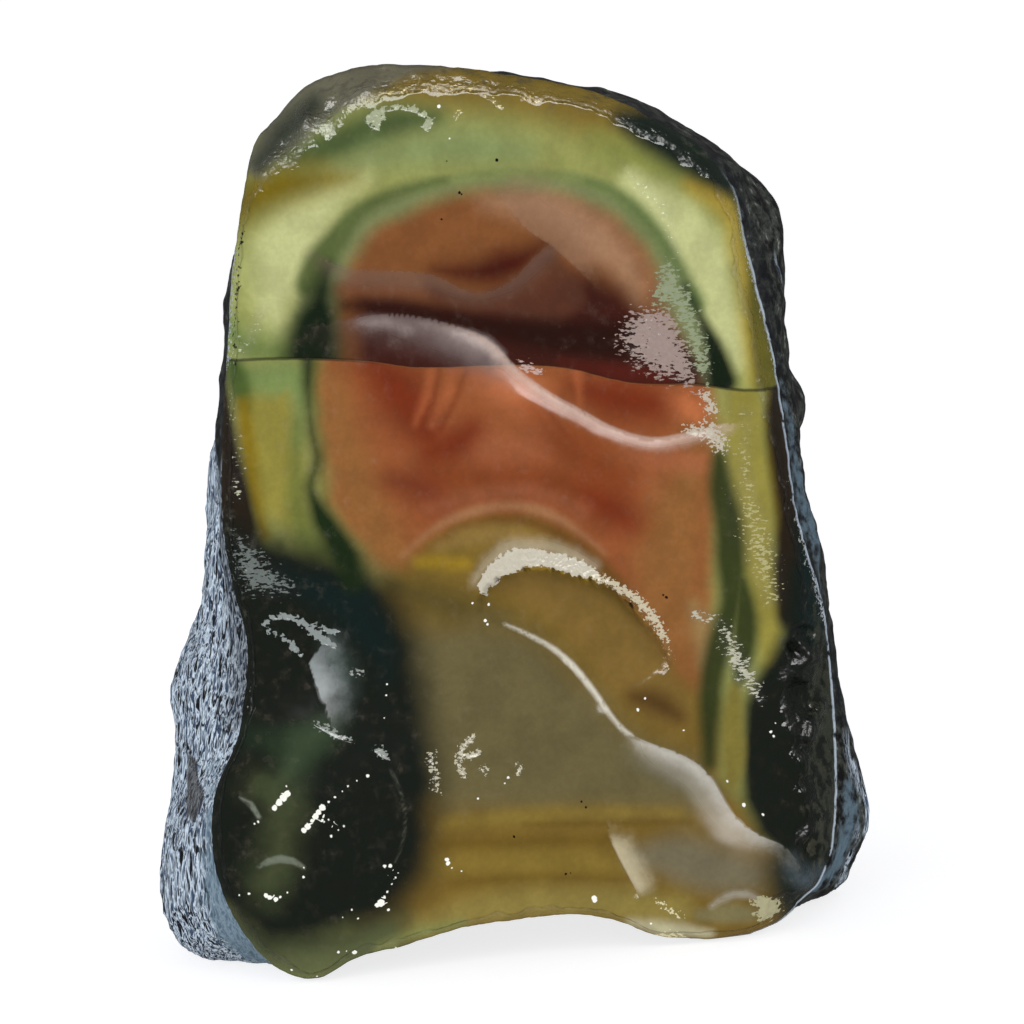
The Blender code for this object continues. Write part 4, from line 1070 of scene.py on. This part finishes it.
def skin_group():
    """Painted reflections, crumbled flakes with painted glints, black grains and painted lamp sparks over the
    bands.
    """
    wiring, given, join = group("broken skin", [("Bands", "Color")], [("Colour", "Color")])
    place = wiring.place()
    crumbs = {kind: wiring.grain(place, size, detail=2.0, stretch=(along, 1.0, 1.0), rough=0.6)
              for kind, (size, along) in CRUMB_GRAINS.items()}
    lumps = wiring.grain(place, 1.5, detail=3.0, rough=0.6)
    patches = wiring.math("MULTIPLY_ADD", wiring.read("lumpy"), 0.06, lumps)
    colour = wiring.mix(wiring.fade(patches, 0.60, 0.74, 0.0, 0.5), given["Bands"], card(*LUMP_COLOUR))
    wavering = wiring.centred(lumps, 1.0)
    # Painted reflections of the lamps, laid over the bands
    for name, shade, strength, _ in PAINTED_REFLECTIONS:
        painted_reflection = wiring.math("ADD", wiring.read(name), wavering)
        colour = wiring.mix(wiring.fade(painted_reflection, -1.0, 1.0, 0.0, strength), colour, card(*shade))
    # Pale flakes: painted glints and reflections in the crumbled facets, over their real relief
    for name, shade, dense, kind, _ in FLAKES_AND_GLINTS:
        patchy = wiring.math("MULTIPLY_ADD", wiring.read(name), 0.13, crumbs[kind])
        passed = 1.0 - FLAKE_SPREAD * dense
        colour = wiring.mix(wiring.fade(patchy, passed, passed + 0.06, 0.0, 0.92), colour, card(*shade))
    colour = wiring.mix(wiring.fade(crumbs[CRUST], 0.36, 0.66, 0.07, 0.0), colour, card(*GAP_COLOUR))
    rim = wiring.math("MULTIPLY", wiring.fade(wiring.read("rind"), -0.26, -0.06),
                      wiring.fade(wiring.along(place, "X"), *RIM_RIGHT))
    rim = wiring.math("MULTIPLY", rim, wiring.fade(lumps, 0.34, 0.48, 0.0, 0.8))
    colour = wiring.mix(rim, colour, card(*RIM_ON_BREAK))
    ragged = wiring.centred(crumbs[CRUMB], 0.3)
    grains = wiring.fade(wiring.spots("grains", ragged), -0.04, 0.06)
    colour = wiring.mix(grains, colour, card(*GRAIN_COLOUR))
    sparks = wiring.fade(wiring.spots("sparks", ragged), -0.03, 0.06)
    return join(Colour=wiring.mix(sparks, colour, card(*SPARK_COLOUR)))


CRUMB_RELIEF, LUMP_RELIEF, EDGE_RELIEF = 1.2, 2.0, 3.2  # of the break, in tenths of a millimetre


def break_relief_group():
    """The fine relief of the break in tenths of a millimetre: crumbs, wet lumps near its margins, and
    finer ones where it starts to turn over towards its edge."""
    wiring, _, join = group("relief of the break", [], [("Height", "Float")])
    place = wiring.place()
    bevel = wiring.read("bevel")
    crumbled = wiring.math("MULTIPLY", wiring.fade(wiring.read("flaky"), -0.6, 0.6),
                           wiring.grain(place, 0.5, detail=1.0))
    lumpy = wiring.math("MULTIPLY", wiring.fade(wiring.read("lumpy"), -1.0, 1.0, 0.0, LUMP_RELIEF),
                        wiring.grain(place, 1.5, detail=3.0, rough=0.6))
    turning = wiring.math("MULTIPLY", wiring.fade(bevel, -0.4, 0.0, 0.0, EDGE_RELIEF),
                          wiring.fade(bevel, 0.6, 0.2))
    height = wiring.math("MULTIPLY_ADD", crumbled, CRUMB_RELIEF, lumpy)
    return join(Height=wiring.math("MULTIPLY_ADD", turning, wiring.grain(place, 0.7, detail=1.0), height))


# Painted light on the rind: lit threads, shaded crevices and pits, highlights on the pitted skin, and the
# smooth skin's bluish reflected light
LIT_THREAD_COLOUR, FIBRE_COLOUR, SHADED_CREVICE_COLOUR = (214, 229, 242), (64, 85, 114), (26, 31, 42)
BROWN_COLOUR, SHADED_COLOUR, SMOOTH_SHEEN_COLOUR = (64, 60, 56), (36, 42, 48), (92, 114, 128)
SHADED_PIT_COLOUR, PITTED_COLOUR, PIT_HIGHLIGHT_COLOUR = (18, 21, 20), (74, 77, 70), (128, 133, 127)
SHADED_REACH = 5.0  # the rind is darker this far round from the edge of the break
SHADED_ABOVE = (24.0, 29.0)  # and only above this height
PIT_RELIEF, THREAD_RELIEF = 3.0, 2.6  # of the rind, in tenths of a millimetre


def rind_group():
    """The rind: fibres with painted lit threads and painted shade in their crevices, dark grey pitted skin
    with painted shade in its pits and painted highlights between them, smooth skin painted bluish with
    reflected light, painted shade near the edge of the break, and the worn rim. Its colour, and its fine
    relief in tenths of a millimetre."""
    wiring, _, join = group("rind", [], [("Colour", "Color"), ("Height", "Float")])
    place = wiring.place()
    from_edge = wiring.read("rind")
    ribs = wiring.grain(place, 0.5, detail=2.0, stretch=(1.0, 1.0, 5.0), rough=0.6, twist=0.6)
    thread = wiring.math("MULTIPLY_ADD", wiring.math("ABSOLUTE", wiring.centred(ribs, 1.0)), -9.0, 1.0)
    broad = wiring.grain(place, 4.0, detail=2.0, stretch=(1.0, 1.0, 3.0))
    fibres = wiring.fade(wiring.math("ADD", wiring.read("fibres"), wiring.centred(broad, 1.6)), 0.36, 0.64)
    # Threads painted as lit and crevices painted as shaded, over the fibres' real relief
    fibrous = wiring.mix(wiring.fade(thread, 0.0, 0.9), card(*FIBRE_COLOUR), card(*LIT_THREAD_COLOUR))
    fibrous = wiring.mix(wiring.fade(ribs, 0.45, 0.37), fibrous, card(*SHADED_CREVICE_COLOUR))
    brown = wiring.math("MULTIPLY_ADD", wiring.read("brown_rind"), 0.12, broad)
    fibrous = wiring.mix(wiring.fade(brown, 0.56, 0.66, 0.0, 0.8), fibrous, card(*BROWN_COLOUR))
    pits = wiring.grain(place, 1.5, detail=3.0, rough=0.68)
    # Pits painted as shaded and the raised skin between them painted with highlights, over their real relief
    pitted = wiring.mix(wiring.fade(pits, 0.38, 0.66), card(*SHADED_PIT_COLOUR), card(*PITTED_COLOUR))
    pitted = wiring.mix(wiring.fade(pits, 0.62, 0.72), pitted, card(*PIT_HIGHLIGHT_COLOUR))
    shaded = wiring.math("MULTIPLY", wiring.fade(from_edge, SHADED_REACH, 0.4, 0.0, 0.6),
                         wiring.fade(wiring.along(place, "Z"), *SHADED_ABOVE))
    colour = wiring.mix(shaded, wiring.mix(fibres, pitted, fibrous), card(*SHADED_COLOUR))
    # Smooth skin, painted bluish with light reflected from the floor and air
    smooth = wiring.math("ADD", wiring.read("smooth"), wiring.centred(pits, 5.0))
    smooth = wiring.fade(smooth, -1.0, 1.0, 0.0, 0.85)
    colour = wiring.mix(smooth, colour, card(*SMOOTH_SHEEN_COLOUR))
    rim = wiring.math("MULTIPLY", wiring.fade(from_edge, 0.34, 0.10),
                      wiring.fade(wiring.along(place, "X"), *RIM_RIGHT))
    rim = wiring.math("MULTIPLY", rim, wiring.fade(pits, 0.36, 0.52, 0.0, 0.8))
    colour = wiring.mix(rim, colour, card(*RIM_ON_RIND))
    threads = wiring.math("MULTIPLY", wiring.math("MULTIPLY", thread, fibres),
                          wiring.fade(smooth, 1.0, 0.0, 0.0, THREAD_RELIEF))
    return join(Colour=colour, Height=wiring.math("MULTIPLY_ADD", pits, PIT_RELIEF, threads))


QUARTZ_IOR = 1.6
RELIEF_UNIT = 0.0001  # metres: the groups give their relief in tenths of a millimetre
WET, CRUMBLED, REFLECTING, TURNING, TURNED, RIND_ROUGHNESS = 0.09, 0.26, 0.34, 0.40, 0.20, 0.46  # roughnesses


def finish(wiring, colour, roughness, height):
    """Joins up a finish of the stone: it is glossy quartz, whatever its colour."""
    surface = wiring.tree.nodes["Principled BSDF"]
    surface.inputs["IOR"].default_value = QUARTZ_IOR
    bump = wiring.add("ShaderNodeBump", {"Height": height, "Distance": RELIEF_UNIT})
    wiring.tree.links.new(colour, surface.inputs["Base Color"])
    wiring.tree.links.new(bump.outputs["Normal"], surface.inputs["Normal"])
    if isinstance(roughness, bpy.types.NodeSocket):
        wiring.tree.links.new(roughness, surface.inputs["Roughness"])
    else:
        surface.inputs["Roughness"].default_value = roughness


def empty_material(name):
    material = bpy.data.materials.new(name)
    material.use_nodes = True
    return material, Wiring(material.node_tree)


def break_material():
    material, wiring = empty_material("jasper break")
    bands = wiring.add("ShaderNodeGroup", {}, node_tree=banding_group()).outputs["Colour"]
    skin = wiring.add("ShaderNodeGroup", {"Bands": bands}, node_tree=skin_group()).outputs["Colour"]
    height = wiring.add("ShaderNodeGroup", {}, node_tree=break_relief_group()).outputs["Height"]
    roughness = wiring.fade(wiring.read("flaky"), -0.6, 0.6, WET, CRUMBLED)
    # Rougher under the painted reflections
    roughness = wiring.math("MAXIMUM", roughness, wiring.fade(wiring.read("painted_reflection"), -1.0, 0.4, WET, REFLECTING))
    turning = wiring.fade(wiring.read("bevel"), -0.25, -0.05, WET, TURNING)
    turning = wiring.math("MINIMUM", turning, wiring.fade(wiring.read("bevel"), 0.05, 0.25, TURNING, TURNED))
    roughness = wiring.math("MAXIMUM", roughness, turning)
    finish(wiring, skin, roughness, height)
    return material


def rind_material():
    material, wiring = empty_material("jasper rind")
    outside = wiring.add("ShaderNodeGroup", {}, node_tree=rind_group()).outputs
    finish(wiring, outside["Colour"], RIND_ROUGHNESS, outside["Height"])
    return material


stone_mesh.materials.append(break_material())
stone_mesh.materials.append(rind_material())
# Two rings are joined by a triangle on each step of both, and the point in the middle has no step
on_break = sum(len(pair[0]) + len(pair[1]) for pair in zip(loops[:FACE_RINGS], loops[1:])) - 1
outside = np.arange(len(triangles)) >= on_break
stone_mesh.polygons.foreach_set("material_index", outside.astype(np.int32))
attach(stone, "root")
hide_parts("jasper_nodule")


# ---- The studio --------------------------------------------------------------------------------------
# A round pale sweep of paper, lit evenly from all sides, that rises to a wall all the way round, so that
# no edge of it shows. Soft lamps hang over it, in front of the stone and at both its sides.

SWEEP_RADIUS, SWEEP_BEND, SWEEP_HEIGHT = 1.5, 0.5, 1.4  # metres
SWEEP_COLOUR = (0.36, 0.36, 0.3625, 1.0)
SWEEP_GLOW = 2.16
SWEEP_DROP = 0.0003  # metres below the stone's foot, so that the two surfaces don't coincide


def sweep_profile():
    """(radius, height) from the middle of the floor to the top of the wall."""
    bend = [math.radians(degrees) for degrees in range(0, 91, 9)]
    corner = [(SWEEP_RADIUS + SWEEP_BEND * math.sin(t), SWEEP_BEND * (1 - math.cos(t))) for t in bend]
    return [(0.001, 0.0), (0.3, 0.0), (0.8, 0.0)] + corner + [(SWEEP_RADIUS + SWEEP_BEND, SWEEP_HEIGHT)]


def turned(name, profile, sides=96):
    """A mesh turned round the vertical axis."""
    turns = [2 * math.pi * side / sides for side in range(sides)]
    points = [(r * math.cos(t), r * math.sin(t), z) for r, z in profile for t in turns]
    faces = []
    for row in range(len(profile) - 1):
        for side in range(sides):
            after = (side + 1) % sides
            near, far = row * sides, (row + 1) * sides
            faces.append((near + side, far + side, far + after, near + after))
    faces.append(tuple(range(sides)))
    mesh = bpy.data.meshes.new(name)
    mesh.from_pydata(points, [], faces)
    mesh.shade_smooth()
    made = bpy.data.objects.new(name, mesh)
    bpy.context.scene.collection.objects.link(made)
    return made


sweep = turned("studio_sweep", sweep_profile())
sweep.location.z = -SWEEP_DROP
sweep_paper = bpy.data.materials.new("pale paper")
sweep_paper.use_nodes = True
paper = sweep_paper.node_tree.nodes["Principled BSDF"]
paper.inputs["Base Color"].default_value = SWEEP_COLOUR
paper.inputs["Roughness"].default_value = 0.9
paper.inputs["Specular IOR Level"].default_value = 0.1
paper.inputs["Emission Color"].default_value = SWEEP_COLOUR
paper.inputs["Emission Strength"].default_value = SWEEP_GLOW
sweep_paper.cycles.emission_sampling = "NONE"  # it lies all round, so every ray finds it unaided
sweep.data.materials.append(sweep_paper)
sweep.visible_glossy = False


def softbox(name, place, aim, width, height, watts, colour=(1.0, 1.0, 1.0), lights=True, mirrored=True):
    """A soft rectangular lamp at a place in metres, turned towards aim. It can light without being
    mirrored in the gloss, or be mirrored alone."""
    lamp = bpy.data.lights.new(name, "AREA")
    lamp.shape, lamp.size, lamp.size_y = "RECTANGLE", width, height
    lamp.energy, lamp.color = watts, colour
    made = bpy.data.objects.new(name, lamp)
    made.location = place
    made.rotation_euler = (Vector(aim) - Vector(place)).to_track_quat("-Z", "Y").to_euler()
    made.visible_diffuse, made.visible_glossy = lights, mirrored
    bpy.context.scene.collection.objects.link(made)


STONE_MIDDLE = (0.0, 0.0, 0.05)
softbox("sky box", (0.0, -0.62, 0.95), STONE_MIDDLE, 1.1, 0.8, 3.4, mirrored=False)
softbox("sky gloss", (0.0, -0.60, 0.92), STONE_MIDDLE, 1.06, 0.77, 17.0, lights=False)
softbox("front fill", (0.0, -1.3, 0.35), STONE_MIDDLE, 1.2, 0.6, 1.7, mirrored=False)
COLD = (0.72, 0.84, 1.0)
softbox("left rim", (-1.1, 0.25, 0.35), STONE_MIDDLE, 0.6, 0.7, 4.6, colour=COLD, mirrored=False)
softbox("right rim", (1.1, 0.35, 0.35), STONE_MIDDLE, 0.6, 0.7, 2.4, colour=COLD, mirrored=False)

AIR_LIGHT, AIR_MIRRORED = 0.15, 0.07  # the air's strength as light, and as the gloss mirrors it
world = bpy.data.worlds.new("studio air")
world.use_nodes = True
air = Wiring(world.node_tree)
background = world.node_tree.nodes["Background"]
background.inputs["Color"].default_value = (1.0, 1.0, 1.0, 1.0)
ray = air.add("ShaderNodeLightPath", {})
strength = air.math("MULTIPLY_ADD", ray.outputs["Is Glossy Ray"], AIR_MIRRORED - AIR_LIGHT, AIR_LIGHT)
world.node_tree.links.new(strength, background.inputs["Strength"])
bpy.context.scene.world = world


# ---- The camera --------------------------------------------------------------------------------------
# It looks at the break from a little above, turned with the banding's lean.

CAMERA_AWAY, CAMERA_RISE = 0.5, math.radians(8.0)
CAMERA_AIM = (-0.4, 3.5, 51.1)  # (a, y, b) in millimetres
FIELD = 0.1138  # width of what it sees at the stone, in metres
SENSOR = 36.0

rightward = Vector((math.cos(LEAN), 0.0, -math.sin(LEAN)))
upward = Vector((math.sin(LEAN), 0.0, math.cos(LEAN)))
inward = Vector((0.0, 1.0, 0.0))
backward = upward * math.sin(CAMERA_RISE) - inward * math.cos(CAMERA_RISE)
camera_up = backward.cross(rightward)
lens = bpy.data.cameras.new("camera")
lens.sensor_width = SENSOR
lens.lens = SENSOR * CAMERA_AWAY / FIELD
camera = bpy.data.objects.new("camera", lens)
turn = Matrix((rightward, camera_up, backward)).transposed().to_4x4()
middle_of_view = Vector(turned_up(CAMERA_AIM) - origin)
camera.matrix_world = Matrix.Translation(middle_of_view + backward * CAMERA_AWAY) @ turn
bpy.context.scene.collection.objects.link(camera)
bpy.context.scene.camera = camera
bpy.context.scene.view_settings.view_transform = "Standard"
